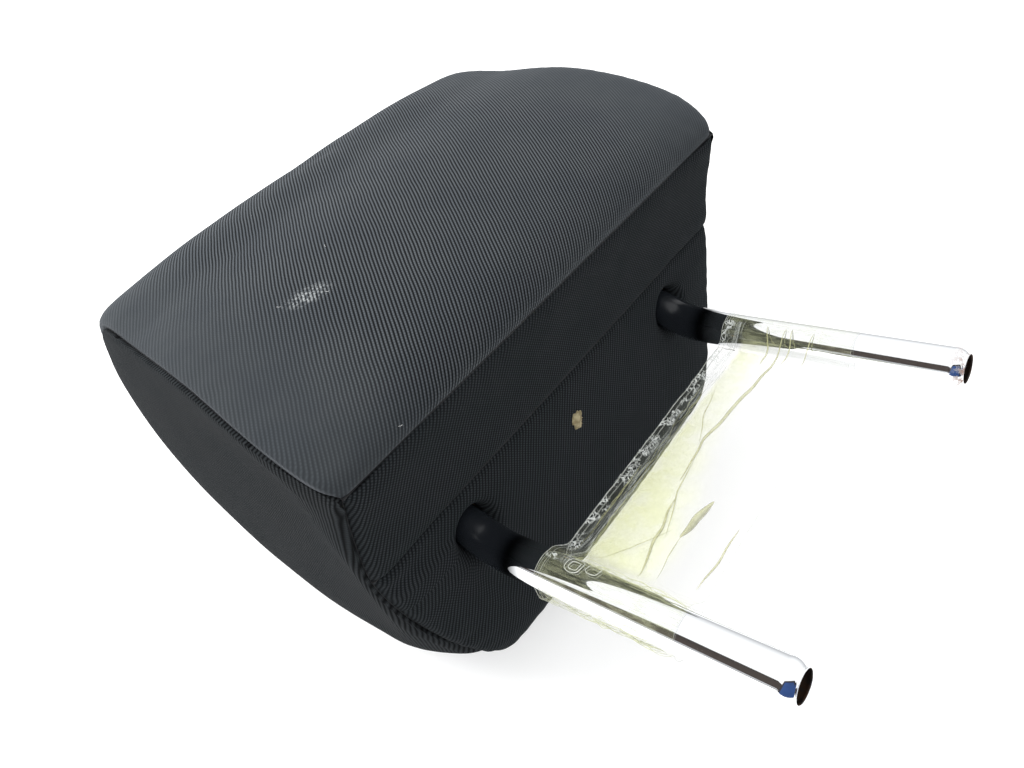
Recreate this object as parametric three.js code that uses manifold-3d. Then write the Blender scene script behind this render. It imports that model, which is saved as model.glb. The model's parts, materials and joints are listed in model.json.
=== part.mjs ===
// A car headrest lying on its back: a padded fabric cover over moulded foam, on a bent chrome tube.
// Millimetres. Inside the headrest's own frame x runs across, y up the headrest and z to its front.
// The whole headrest is then laid back so that it rests on the table plane z = 0.

import * as THREE from 'three';
import { mergeGeometries, mergeVertices } from 'three/addons/utils/BufferGeometryUtils.js';
import Module from 'manifold-3d';

const wasm = await Module();
wasm.setup();

// Overall sizes of the padded head
const headHalfWidth = 106;
const headHeight = 149;
const frontReach = 95;
const rearReach = 54;
const gussetHalfWidth = 104;
const gussetFullness = 4.6;
const gussetMiddleHeight = 71.5;
const gussetMiddleFront = 20;
const lipCrown = 7;
const frontCrown = 6;
const faceCrown = 4;
const topCrown = 11;
const backCrown = 9;
const bottomCrown = 1;
const rearSag = 8;
const rearSagPower = 4;
const crownRoundness = 0.64;

// How the headrest lies, and how far the foam gives under its own weight
const restTilt = THREE.MathUtils.degToRad(22.7);
const restSquash = 2.5;

// Cover
const coverThickness = 3;
const seamGap = 0.4;
const fitGap = 0.3;
const foamGap = 0.8;

// Posts
const postDiameter = 14;
const postWall = 1.5;
const postSpacing = 129;
const postReach = 114;
const postBendDepth = 9;
const postBendAngle = THREE.MathUtils.degToRad(25);
const postBendRadius = 34;
const postUpperBend = 48;
const crossbarHeight = 92;
const crossbarBendRadius = 26;
const postMouthDiameter = 10.4;
const postShoulder = 5.5;
const postShoulderPower = 2.2;

// Rings that line the post holes
const ringWall = 1.8;
const ringLength = 8;
const ringProud = 1;

// Plastic core that grips the tube inside the foam
const coreWidth = 158;
const coreHeight = 62;
const coreHalfDepth = 15;
const coreWall = 2.5;
const coreCorner = 8;
const coreBelowCrossbar = 40;
const saddleThickness = 4;
const saddleInset = 22;
const bossRadius = 5;
const bossInset = 9;
const lowerBossInset = 18;
const levelRibDrop = 15.5;

// Screws through the core
const screwRadius = 1.9;
const screwHeadRadius = 3.8;
const screwHeadHeight = 2.4;
const screwCrownRadius = 2.1;
const screwCrownDrop = 0.25;
const screwRimHeight = 1;
const screwLength = 22;
const screwTip = 3;

// Hooked plastic strips behind the closure seam
const closureLength = 168;
const closureWall = 1.2;
const closureTab = 8;
const hookRise = 5.6;
const hookSpan = 6.2;
const hookFoot = 1;

// Packing tape round both posts
const tapeWidth = 50;
const tapeStart = 32;
const tapeFilm = 0.7;
const tapeWeb = 0.8;
const tapeNeck = 5;

// Facets
const alongSteps = 36;
const acrossSteps = 10;
const bottomSteps = 5;
const gussetRings = 5;
const postSides = 16;
const bendSteps = 4;
const roundSides = 16;
const smallSides = 12;
const cornerSteps = 3;
const tipShares = [0, 0.12, 0.4];
const mergeTolerance = 1e-4;

// Colours
const frontFabric = new THREE.MeshStandardMaterial({ color: 0x3a3d42, roughness: 0.95, metalness: 0 });
const sideFabric = new THREE.MeshStandardMaterial({ color: 0x303337, roughness: 0.95, metalness: 0 });
const bottomFabric = new THREE.MeshStandardMaterial({ color: 0x25272a, roughness: 0.97, metalness: 0 });
const foam = new THREE.MeshStandardMaterial({ color: 0xc9bd8f, roughness: 1, metalness: 0 });
const chrome = new THREE.MeshStandardMaterial({ color: 0xd8dadd, roughness: 0.08, metalness: 1 });
const corePlastic = new THREE.MeshStandardMaterial({ color: 0x1c1d1f, roughness: 0.6, metalness: 0 });
const stripPlastic = new THREE.MeshStandardMaterial({ color: 0x2b2b2b, roughness: 0.5, metalness: 0 });
const screwSteel = new THREE.MeshStandardMaterial({ color: 0xa8abae, roughness: 0.35, metalness: 1 });
const tapeFilmClear = new THREE.MeshStandardMaterial({
  color: 0xe6e3c8, roughness: 0.15, metalness: 0, transparent: true, opacity: 0.45,
});

// The sewn outline of each side as shares of the head's sizes: half width, height, depth.
// It starts at the bottom front corner, goes up the front, over the top and down the back.
const sideOutline = [
  [0.967, -0.08, 0.684],
  [1.0, 0.055, 0.83],
  [0.976, 0.295, 0.965],
  [0.943, 0.523, 1.0],
  [0.906, 0.738, 0.988],
  [0.877, 0.913, 0.81],
  [0.84, 1.0, 0.547],
  [0.811, 0.987, 0.21],
  [0.774, 0.866, -0.2],
  [0.783, 0.671, -0.611],
  [0.736, 0.336, -1.0],
  [0.679, 0.04, -1.0],
];

// The bottom edge of each side, from the front corner past the closure seam to the rear corner
const closureStation = 2;
const bottomOutline = [
  [0.967, -0.08, 0.684],
  [0.981, -0.027, 0.432],
  [0.986, 0, 0.253],
  [0.962, 0.01, 0.053],
  [0.906, 0.02, -0.296],
  [0.849, 0.027, -0.556],
  [0.764, 0.034, -0.833],
  [0.679, 0.04, -1.0],
];

function outlinePoint([width, up, front]) {
  const depth = front >= 0 ? front * frontReach : front * rearReach;
  return new THREE.Vector3(width * headHalfWidth, up * headHeight, depth);
}

function outlineCurve(stations) {
  return new THREE.CatmullRomCurve3(stations.map(outlinePoint), false, 'centripetal');
}

// The ring of points round one side: the sewn outline, then the bottom edge back to the start
const sidePoints = outlineCurve(sideOutline).getSpacedPoints(alongSteps);
const bottomCurve = outlineCurve(bottomOutline);
const closureShare = closureStation / (bottomOutline.length - 1);

function bottomShare(row) {
  if (row <= bottomSteps) return (closureShare * row) / bottomSteps;
  return closureShare + ((1 - closureShare) * (row - bottomSteps)) / (2 * bottomSteps);
}

const bottomRows = 3 * bottomSteps;
const bottomPoints = Array.from(
  { length: bottomRows + 1 }, (_, row) => bottomCurve.getPoint(bottomShare(row)));
const ringPoints = [...sidePoints, ...bottomPoints.slice(1, -1).reverse()];

// Unit normal of the side outline at a ring point, in the plane of the side, facing out of the head
function ringNormal(from, to) {
  return new THREE.Vector2(to.z - from.z, to.y - from.y).normalize().multiply(new THREE.Vector2(-1, 1));
}

function outwardNormal(index) {
  const before = ringPoints[(index + ringPoints.length - 1) % ringPoints.length];
  const here = ringPoints[index];
  const after = ringPoints[(index + 1) % ringPoints.length];
  const first = ringNormal(before, here);
  const second = ringNormal(here, after);
  const mitre = 1 + first.dot(second);
  return first.add(second).divideScalar(mitre);
}

// The ring moved inwards by an inset, square to both walls that meet at it
function insetRing(inset) {
  return ringPoints.map((point, index) => {
    const normal = outwardNormal(index);
    return new THREE.Vector3(point.x - inset, point.y - normal.x * inset, point.z - normal.y * inset);
  });
}

// How much the panel between the two side outlines stands proud, along the outline
const crownStations = [
  [0, 0],
  [0.05, lipCrown],
  [0.14, frontCrown],
  [0.25, faceCrown],
  [0.37, topCrown],
  [0.44, topCrown],
  [0.53, 0.9 * backCrown],
  [0.64, backCrown],
  [0.94, backCrown],
  [1, 0.5 * backCrown],
];

function crownAt(share) {
  const next = Math.max(1, crownStations.findIndex(([at]) => at >= share));
  const [fromAt, fromValue] = crownStations[next - 1];
  const [toAt, toValue] = crownStations[next];
  return THREE.MathUtils.lerp(fromValue, toValue, (share - fromAt) / (toAt - fromAt));
}

// Places across the head, closer together towards the seams, and the fullness of a panel there
const acrossShares = Array.from(
  { length: acrossSteps + 1 }, (_, column) => Math.sin(Math.PI * (column / acrossSteps - 0.5)));
acrossShares[0] = -1;
acrossShares[acrossSteps] = 1;

function fullness(across) {
  return Math.pow(Math.max(0, 1 - across * across), crownRoundness / 2);
}

// Depth of a point below the headrest's own centre, measured square to the table it lies on
function restDepth(point) {
  return point.y * Math.sin(restTilt) - point.z * Math.cos(restTilt);
}

// The panel that runs up the front, over the top and down the back
function mainGrid(inset, sideInset = 0) {
  const ring = insetRing(inset);
  return sidePoints.map((_, row) => {
    const normal = outwardNormal(row === 0 ? 1 : Math.min(row, alongSteps - 1));
    const crown = crownAt(row / alongSteps);
    const edge = ring[row];
    return acrossShares.map((across) => {
      const proud = crown * fullness(across);
      return new THREE.Vector3(
        across * (edge.x - sideInset), edge.y + normal.x * proud, edge.z + normal.y * proud);
    });
  });
}

const fullDepth = Math.max(...mainGrid(0).flat().map(restDepth));

// Foam gives where the head lies, so the back is flat there
function layFlat(rows, inset) {
  const limit = fullDepth - restSquash - inset;
  for (const point of rows.flat()) {
    const excess = restDepth(point) - limit;
    if (excess > 0) {
      point.y -= excess * Math.sin(restTilt);
      point.z += excess * Math.cos(restTilt);
    }
  }
  return rows;
}

// The underside, in rows from the front seam to the rear edge
function bottomGrid(inset, sideInset = 0) {
  const ring = insetRing(inset);
  const rearRow = mainGrid(inset)[alongSteps];
  const rearEdge = ring[alongSteps];
  return bottomPoints.map((_, row) => {
    const edge = ring[(ringPoints.length - row) % ringPoints.length];
    const share = row / bottomRows;
    const rearPull = share * share;
    const sag = bottomCrown * Math.sin(Math.PI * share)
      + rearSag * Math.sin(Math.PI * Math.pow(share, rearSagPower));
    return acrossShares.map((across, column) => new THREE.Vector3(
      across * (edge.x - sideInset),
      edge.y + rearPull * (rearRow[column].y - rearEdge.y) - sag * fullness(across),
      edge.z + rearPull * (rearRow[column].z - rearEdge.z),
    ));
  });
}

// One side as rings of points, from its rim to its fullest point
function gussetGrid(inset, side, offset = 0) {
  const ring = insetRing(inset);
  const centre = new THREE.Vector3(gussetHalfWidth - inset, gussetMiddleHeight, gussetMiddleFront);
  const rows = [];
  for (let step = gussetRings; step >= 0; step -= 1) {
    const reach = Math.sin((Math.PI / 2) * (step / gussetRings));
    const slope = Math.pow(reach, gussetFullness);
    rows.push(ring.map((rim) => new THREE.Vector3(
      side * (centre.x + (rim.x - centre.x) * slope + offset),
      centre.y + (rim.y - centre.y) * reach,
      centre.z + (rim.z - centre.z) * reach,
    )));
  }
  return rows;
}

// Triangles
function triangleGeometry(triangles) {
  const geometry = new THREE.BufferGeometry();
  geometry.setAttribute('position', new THREE.Float32BufferAttribute(
    triangles.flatMap((point) => [point.x, point.y, point.z]), 3));
  return geometry;
}

function quads(rows, closed, flip) {
  const triangles = [];
  const last = rows[0].length - (closed ? 0 : 1);
  for (let i = 0; i < rows.length - 1; i += 1) {
    for (let j = 0; j < last; j += 1) {
      const k = (j + 1) % rows[0].length;
      const [a, b, c, d] = [rows[i][j], rows[i][k], rows[i + 1][k], rows[i + 1][j]];
      triangles.push(...(flip ? [a, c, b, a, d, c] : [a, b, c, a, c, d]));
    }
  }
  return triangleGeometry(triangles);
}

// Joins sheets that share their borders into one closed body with its faces pointing out
function closedBody(sheets) {
  const merged = mergeVertices(mergeGeometries(sheets), mergeTolerance);
  const index = merged.index.array;
  const kept = [];
  for (let i = 0; i < index.length; i += 3) {
    const [a, b, c] = index.slice(i, i + 3);
    if (a !== b && b !== c && c !== a) kept.push(a, b, c);
  }
  merged.setIndex(kept);
  if (signedVolume(merged) < 0) {
    for (let i = 0; i < kept.length; i += 3) [kept[i + 1], kept[i + 2]] = [kept[i + 2], kept[i + 1]];
    merged.setIndex(kept);
  }
  return merged;
}

function signedVolume(geometry) {
  const position = geometry.attributes.position;
  const index = geometry.index.array;
  const [a, b, c] = [new THREE.Vector3(), new THREE.Vector3(), new THREE.Vector3()];
  let total = 0;
  for (let i = 0; i < index.length; i += 3) {
    a.fromBufferAttribute(position, index[i]);
    b.fromBufferAttribute(position, index[i + 1]);
    c.fromBufferAttribute(position, index[i + 2]);
    total += a.dot(b.cross(c)) / 6;
  }
  return total;
}

// A sheet with a wall: outer and inner grids of the same size, joined round their edge
function walledSheet(outer, inner) {
  const rim = (rows) => [
    ...rows[0],
    ...rows.slice(1).map((row) => row[row.length - 1]),
    ...rows[rows.length - 1].slice(0, -1).reverse(),
    ...rows.slice(1, -1).reverse().map((row) => row[0]),
  ];
  return closedBody([
    quads(outer, false, false),
    quads(inner, false, true),
    quads([rim(outer), rim(inner)], true, true),
  ]);
}

function walledDisc(outer, inner) {
  return closedBody([
    quads(outer, true, false),
    quads(inner, true, true),
    quads([outer[0], inner[0]], true, true),
  ]);
}

// Solids for cutting and joining
function toSolid(geometry) {
  const bare = geometry.clone();
  bare.deleteAttribute('normal');
  bare.deleteAttribute('uv');
  const merged = mergeVertices(bare, mergeTolerance);
  return new wasm.Manifold(new wasm.Mesh({
    numProp: 3,
    vertProperties: new Float32Array(merged.attributes.position.array),
    triVerts: new Uint32Array(merged.index.array),
  }));
}

function toGeometry(solid) {
  const mesh = solid.getMesh();
  const geometry = new THREE.BufferGeometry();
  geometry.setAttribute('position', new THREE.BufferAttribute(mesh.vertProperties.slice(), 3));
  geometry.setIndex(Array.from(mesh.triVerts));
  return geometry;
}

function joined(solids) {
  return solids.reduce((whole, solid) => whole.add(solid));
}

function box(width, height, depth, x, y, z) {
  return toSolid(new THREE.BoxGeometry(width, height, depth).translate(x, y, z));
}

// A round bar along z
function bar(radius, length, x, y, z) {
  const upright = new THREE.CylinderGeometry(radius, radius, length, smallSides);
  return toSolid(upright.rotateX(Math.PI / 2).translate(x, y, z));
}

// The route of the tube's centre line, with its corners rounded
function roundedRoute(corners, radii, stepsPerCorner) {
  const route = [corners[0].clone()];
  for (let i = 1; i < corners.length - 1; i += 1) {
    const corner = corners[i];
    const back = corners[i - 1].clone().sub(corner).normalize();
    const ahead = corners[i + 1].clone().sub(corner).normalize();
    const halfAngle = back.angleTo(ahead) / 2;
    const inwards = back.clone().add(ahead).normalize();
    const centre = corner.clone().addScaledVector(inwards, radii[i - 1] / Math.sin(halfAngle));
    const tangentLength = radii[i - 1] / Math.tan(halfAngle);
    const start = corner.clone().addScaledVector(back, tangentLength).sub(centre);
    const end = corner.clone().addScaledVector(ahead, tangentLength).sub(centre);
    const axis = start.clone().cross(end).normalize();
    const sweep = start.angleTo(end);
    for (let step = 0; step <= stepsPerCorner; step += 1) {
      route.push(start.clone().applyAxisAngle(axis, (sweep * step) / stepsPerCorner).add(centre));
    }
  }
  route.push(corners[corners.length - 1].clone());
  return route;
}

// Rings of points round a route, square to it, without twist
function ringsAlong(route, radii) {
  let normal = new THREE.Vector3(0, 0, 1);
  let previous = route[1].clone().sub(route[0]).normalize();
  return route.map((point, i) => {
    const before = route[Math.max(0, i - 1)];
    const after = route[Math.min(route.length - 1, i + 1)];
    const tangent = after.clone().sub(before).normalize();
    normal.applyQuaternion(new THREE.Quaternion().setFromUnitVectors(previous, tangent));
    normal = normal.clone().addScaledVector(tangent, -normal.dot(tangent)).normalize();
    previous = tangent;
    const side = tangent.clone().cross(normal);
    return Array.from({ length: postSides }, (_, k) => {
      const angle = (2 * Math.PI * k) / postSides;
      return point.clone()
        .addScaledVector(normal, radii[i] * Math.cos(angle))
        .addScaledVector(side, radii[i] * Math.sin(angle));
    });
  });
}

const postX = postSpacing / 2;
const slopeRise = (postUpperBend + postBendDepth) * Math.tan(postBendAngle);

function postCorners(tipY) {
  const oneSide = [
    new THREE.Vector3(-postX, tipY, 0),
    new THREE.Vector3(-postX, -postBendDepth, 0),
    new THREE.Vector3(-postX, postUpperBend, slopeRise),
    new THREE.Vector3(-postX, crossbarHeight, slopeRise),
  ];
  const otherSide = oneSide.map((corner) => new THREE.Vector3(-corner.x, corner.y, corner.z)).reverse();
  return [...oneSide, ...otherSide];
}

const cornerRadii = [postBendRadius, postBendRadius, crossbarBendRadius];
const bothRadii = [...cornerRadii, ...cornerRadii.slice().reverse()];

// Each tip narrows over a rounded shoulder to a smaller open mouth
function tipRadius(share) {
  const narrowing = (postDiameter - postMouthDiameter) / 2;
  return postDiameter / 2 - narrowing * Math.pow(1 - share, postShoulderPower);
}

function tipRoute(x) {
  return tipShares.map((share) => new THREE.Vector3(x, share * postShoulder - postReach, 0));
}

function postFrame() {
  const behindTips = roundedRoute(postCorners(postShoulder - postReach), bothRadii, bendSteps);
  const route = [...tipRoute(-postX), ...behindTips, ...tipRoute(postX).reverse()];
  const tipRadii = tipShares.map(tipRadius);
  const radii = [...tipRadii, ...behindTips.map(() => postDiameter / 2), ...tipRadii.slice().reverse()];
  const outer = ringsAlong(route, radii);
  const inner = ringsAlong(route, radii.map((radius) => radius - postWall));
  const last = outer.length - 1;
  return closedBody([
    quads(outer, true, false),
    quads(inner, true, true),
    quads([outer[0], inner[0]], true, true),
    quads([outer[last], inner[last]], true, false),
  ]);
}

// A solid bar that follows the tube, for the room that other pieces leave for it
function tubeRoom(clearance) {
  const belowBend = -(postBendDepth + postBendRadius);
  const route = roundedRoute(postCorners(belowBend), bothRadii, bendSteps);
  const rings = ringsAlong(route, route.map(() => postDiameter / 2 + clearance));
  const last = rings.length - 1;
  const capRow = (ring, point) => [ring, ring.map(() => point)];
  return toSolid(closedBody([
    quads(rings, true, false),
    quads(capRow(rings[0], route[0]), true, true),
    quads(capRow(rings[last], route[route.length - 1]), true, false),
  ]));
}

// The ring round a post where it leaves the cover, in line with the tube there
const holeHeight = coverThickness / 2;
const holeFront = (holeHeight + postBendDepth) * Math.tan(postBendAngle);

function alongPost(geometry) {
  return geometry.rotateX(postBendAngle);
}

const ringInner = postDiameter / 2 + fitGap;
const ringOuter = ringInner + ringWall;
const ringRoomRadius = ringOuter + fitGap;

function ringGeometry() {
  const low = -holeHeight - ringProud;
  const high = low + ringLength;
  const profile = [
    new THREE.Vector2(ringInner, low),
    new THREE.Vector2(ringOuter, low),
    new THREE.Vector2(ringOuter, high),
    new THREE.Vector2(ringInner, high),
    new THREE.Vector2(ringInner, low),
  ];
  return alongPost(new THREE.LatheGeometry(profile, roundSides));
}

// Room for both rings: a round bar of this length, moved along the post by a shift
function ringRoom(length, shift) {
  const room = new THREE.CylinderGeometry(ringRoomRadius, ringRoomRadius, length, roundSides);
  alongPost(room.translate(0, shift, 0));
  return joined([-postX, postX].map((x) => toSolid(room.clone().translate(x, holeHeight, holeFront))));
}

// The cover's holes go right through, and the foam's pockets are only as deep as the rings
function ringHoles() {
  return ringRoom(2 * (ringLength + coverThickness), 0);
}

function ringPockets() {
  return ringRoom(2 * ringLength, fitGap - ringProud - holeHeight);
}

// The plastic core: two shells that meet on the plane of the crossbar
const coreMiddle = crossbarHeight - coreBelowCrossbar + coreHeight / 2;
const bossX = coreWidth / 2 - bossInset;
const bossY = coreHeight / 2 - bossInset;
const lowerBossX = postX - lowerBossInset;
const bossPlaces = [
  [-lowerBossX, -bossY],
  [lowerBossX, -bossY],
  [-bossX, bossY],
  [bossX, bossY],
];

function roundedPlate(width, height, corner, depth) {
  const shape = new THREE.Shape();
  const [w, h] = [width / 2, height / 2];
  shape.moveTo(-w + corner, -h);
  shape.lineTo(w - corner, -h);
  shape.absarc(w - corner, -h + corner, corner, -Math.PI / 2, 0);
  shape.lineTo(w, h - corner);
  shape.absarc(w - corner, h - corner, corner, 0, Math.PI / 2);
  shape.lineTo(-w + corner, h);
  shape.absarc(-w + corner, h - corner, corner, Math.PI / 2, Math.PI);
  shape.lineTo(-w, -h + corner);
  shape.absarc(-w + corner, -h + corner, corner, Math.PI, 1.5 * Math.PI);
  return new THREE.ExtrudeGeometry(shape, { depth, bevelEnabled: false, curveSegments: cornerSteps });
}

// side is 1 for the front shell and -1 for the rear one
function coreShell(side, room) {
  const parting = fitGap / 2;
  const depth = coreHalfDepth - parting;
  const plate = roundedPlate(coreWidth, coreHeight, coreCorner, depth).translate(0, 0, parting);
  const pocketWidth = coreWidth - 2 * coreWall;
  const pocketHeight = coreHeight - 2 * coreWall;
  const pocket = roundedPlate(pocketWidth, pocketHeight, coreCorner - coreWall, depth);
  const hollow = toSolid(plate).subtract(toSolid(pocket.translate(0, 0, parting - coreWall)));
  const ribDepth = depth - coreWall / 2;
  const ribMiddle = parting + ribDepth / 2;
  const saddleX = postX - saddleInset;
  const inside = coreHeight - coreWall;
  const upright = [-saddleX, 0, saddleX].map(
    (x) => box(saddleThickness, inside, ribDepth, x, 0, ribMiddle));
  const level = box(coreWidth - coreWall, saddleThickness, ribDepth, 0, -levelRibDrop, ribMiddle);
  const bosses = bossPlaces.map(([x, y]) => bar(bossRadius, ribDepth, x, y, ribMiddle));
  const holes = bossPlaces.map(([x, y]) => bar(screwRadius + fitGap, screwHoleDepth(side), x, y, 0));
  const whole = joined([hollow, ...upright, level, ...bosses]).subtract(joined(holes));
  const turned = side > 0 ? whole : whole.rotate([0, 180, 0]);
  return turned.translate([0, coreMiddle, slopeRise]).subtract(room);
}

// The front shell's screw holes are blind and the rear shell's go right through
const screwUnderHead = coreHalfDepth + fitGap;

function screwHoleDepth(side) {
  return side > 0 ? 2 * (screwLength - screwUnderHead + fitGap) : 4 * coreHalfDepth;
}

function screwGeometry() {
  const profile = [
    new THREE.Vector2(0, -screwLength),
    new THREE.Vector2(screwRadius, screwTip - screwLength),
    new THREE.Vector2(screwRadius, 0),
    new THREE.Vector2(screwHeadRadius, 0),
    new THREE.Vector2(screwHeadRadius, screwRimHeight),
    new THREE.Vector2(screwCrownRadius, screwHeadHeight - screwCrownDrop),
    new THREE.Vector2(0, screwHeadHeight),
  ];
  return new THREE.LatheGeometry(profile, smallSides);
}

// Sections of the two hooked strips, as outlines of depth and height from the closure seam
const closureSeam = outlinePoint(bottomOutline[closureStation]);
const tabHeight = coverThickness + fitGap;

function stripSolid(rectangles) {
  const solids = rectangles.map(([fromZ, toZ, fromY, toY]) => box(
    closureLength, toY - fromY, toZ - fromZ,
    0, closureSeam.y + tabHeight + (fromY + toY) / 2, closureSeam.z + (fromZ + toZ) / 2));
  return joined(solids);
}

const hookInner = closureWall + fitGap;
const hookBack = hookInner + closureWall - hookSpan;
const hookTop = closureWall + hookRise;

function hookStrip() {
  return stripSolid([
    [hookInner, hookInner + closureTab, 0, closureWall],
    [hookInner, hookInner + closureWall, 0, hookTop],
    [hookBack, hookInner + closureWall, hookTop - closureWall, hookTop],
    [hookBack, hookBack + closureWall, closureWall + fitGap, hookTop],
    [hookBack, hookBack + closureWall + hookFoot, closureWall + fitGap, 2 * closureWall + fitGap],
  ]);
}

function catchStrip() {
  const stemBack = hookBack + closureWall + hookFoot + fitGap;
  const barbBottom = 2 * closureWall + 2 * fitGap;
  return stripSolid([
    [stemBack - closureTab, hookInner - fitGap, 0, closureWall],
    [stemBack, hookInner - fitGap, 0, hookTop - closureWall - fitGap],
    [hookBack + closureWall + fitGap, hookInner - fitGap, barbBottom, hookTop - closureWall - fitGap],
  ]);
}

function closureRoom() {
  const front = hookInner + closureTab + fitGap;
  const back = hookBack - closureTab - fitGap;
  const height = 2 * (hookTop + fitGap + tabHeight);
  const middleDepth = closureSeam.z + (front + back) / 2;
  return box(closureLength + 2 * fitGap, height, front - back, 0, closureSeam.y, middleDepth);
}

// The tape's section: a band round each post and the stuck-together film between them
function tapeGeometry() {
  const inner = postDiameter / 2 + fitGap;
  const outer = inner + tapeFilm;
  const neckAngle = Math.asin((tapeWeb / 2 + tapeNeck / 2) / outer);
  const neckX = postX - outer - tapeNeck;
  const shape = new THREE.Shape();
  shape.moveTo(-neckX, tapeWeb / 2);
  shape.absarc(-postX, 0, outer, neckAngle, 2 * Math.PI - neckAngle, false);
  shape.lineTo(-neckX, -tapeWeb / 2);
  shape.lineTo(neckX, -tapeWeb / 2);
  shape.absarc(postX, 0, outer, -Math.PI + neckAngle, Math.PI - neckAngle, false);
  shape.lineTo(neckX, tapeWeb / 2);
  shape.closePath();
  for (const x of [-postX, postX]) {
    const hole = new THREE.Path();
    hole.absarc(x, 0, inner, 0, 2 * Math.PI, true);
    shape.holes.push(hole);
  }
  const extrusion = { depth: tapeWidth, bevelEnabled: false, curveSegments: roundSides };
  const tape = new THREE.ExtrudeGeometry(shape, extrusion);
  return tape.rotateX(Math.PI / 2).translate(0, -tapeStart, 0);
}

// Pieces
const headrest = new THREE.Group();

function addPiece(name, geometry, material, place = [0, 0, 0]) {
  const mesh = new THREE.Mesh(geometry, material);
  mesh.name = name;
  mesh.position.set(...place);
  headrest.add(mesh);
  return mesh;
}

const halfSeam = seamGap / 2;

function mainCover() {
  return walledSheet(
    layFlat(mainGrid(0, halfSeam), 0),
    layFlat(mainGrid(coverThickness, halfSeam), coverThickness));
}

// side is 1 for the headrest's left and -1 for its right
function sideCover(side) {
  const outer = layFlat(gussetGrid(0, side, halfSeam), 0);
  const inner = layFlat(gussetGrid(coverThickness, side, halfSeam), coverThickness);
  return walledDisc(outer, inner);
}

// Rows of the underside, a seam's width below the main panel
function bottomRowsOf(inset, fromRow, toRow) {
  const rows = bottomGrid(inset, halfSeam).slice(fromRow, toRow + 1);
  for (const point of rows.flat()) point.y -= seamGap;
  return rows;
}

// The strip in front of the closure seam and the panel behind it each stop short of the seam
function bottomFrontStrip() {
  const sheet = (inset) => {
    const rows = bottomRowsOf(inset, 0, bottomSteps);
    for (const point of rows[rows.length - 1]) point.z += halfSeam;
    return rows;
  };
  return walledSheet(sheet(0), sheet(coverThickness));
}

function bottomPanel() {
  const sheet = (inset) => {
    const rows = bottomRowsOf(inset, bottomSteps, bottomRows);
    for (const point of rows[0]) point.z -= halfSeam;
    return rows;
  };
  return walledSheet(sheet(0), sheet(coverThickness));
}

function foamBody() {
  const inset = coverThickness + foamGap;
  return closedBody([
    quads(layFlat(mainGrid(inset), inset), false, false),
    quads(bottomGrid(inset), false, true),
    quads(layFlat(gussetGrid(inset, 1), inset), true, true),
    quads(layFlat(gussetGrid(inset, -1), inset), true, false),
  ]);
}

function coreRoom() {
  const width = coreWidth + 2 * fitGap;
  const height = coreHeight + 2 * fitGap;
  const depth = 2 * (coreHalfDepth + fitGap);
  const room = roundedPlate(width, height, coreCorner + fitGap, depth);
  return toSolid(room.translate(0, coreMiddle, slopeRise - depth / 2));
}

function screwHeadRoom() {
  const length = screwHeadHeight + 2 * fitGap;
  const depth = slopeRise - screwUnderHead - screwHeadHeight / 2;
  const rooms = bossPlaces.map(([x, y]) => bar(screwHeadRadius + fitGap, length, x, coreMiddle + y, depth));
  return joined(rooms);
}

const roomForTube = tubeRoom(fitGap);

addPiece('main_cover_panel', mainCover(), frontFabric);
addPiece('left_side_gusset', sideCover(1), sideFabric);
addPiece('right_side_gusset', sideCover(-1), sideFabric);
addPiece('bottom_front_strip', bottomFrontStrip(), bottomFabric);
addPiece('bottom_panel', toGeometry(toSolid(bottomPanel()).subtract(ringHoles())), bottomFabric);
const foamRooms = [roomForTube, ringPockets(), coreRoom(), screwHeadRoom(), closureRoom()];
addPiece('foam_core', toGeometry(toSolid(foamBody()).subtract(joined(foamRooms))), foam);
addPiece('post_frame', postFrame(), chrome);
addPiece('front_core_shell', toGeometry(coreShell(1, roomForTube)), corePlastic);
addPiece('rear_core_shell', toGeometry(coreShell(-1, roomForTube)), corePlastic);
bossPlaces.forEach(([x, y], index) => {
  const screw = addPiece(`core_screw_${index + 1}`, screwGeometry(), screwSteel,
    [x, coreMiddle + y, slopeRise - screwUnderHead]);
  screw.rotation.x = -Math.PI / 2;
});
addPiece('left_post_ring', ringGeometry(), corePlastic, [postX, holeHeight, holeFront]);
addPiece('right_post_ring', ringGeometry(), corePlastic, [-postX, holeHeight, holeFront]);
addPiece('closure_hook_strip', toGeometry(hookStrip()), stripPlastic);
addPiece('closure_catch_strip', toGeometry(catchStrip()), stripPlastic);
addPiece('packing_tape', tapeGeometry(), tapeFilmClear);

// Laid back on the table, with the origin under the middle of the whole headrest
headrest.rotation.x = -restTilt;
const laidDown = new THREE.Group();
laidDown.add(headrest);
laidDown.updateMatrixWorld(true);
const reach = new THREE.Box3().setFromObject(laidDown, true);
const middle = reach.getCenter(new THREE.Vector3());
headrest.position.set(-middle.x, -middle.y, -reach.min.z);

export default laidDown;
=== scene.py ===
"""The looks of a car headrest: a padded fabric head on two chrome posts with clear tape round them.

Shapes are worked out in millimetres in the headrest's own frame, where x runs across, y up the
headrest and z to its front. Lying takes them into the scene's metres, on the table.
"""

import json
import logging
import math
from dataclasses import dataclass, field
from enum import Enum

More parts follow.
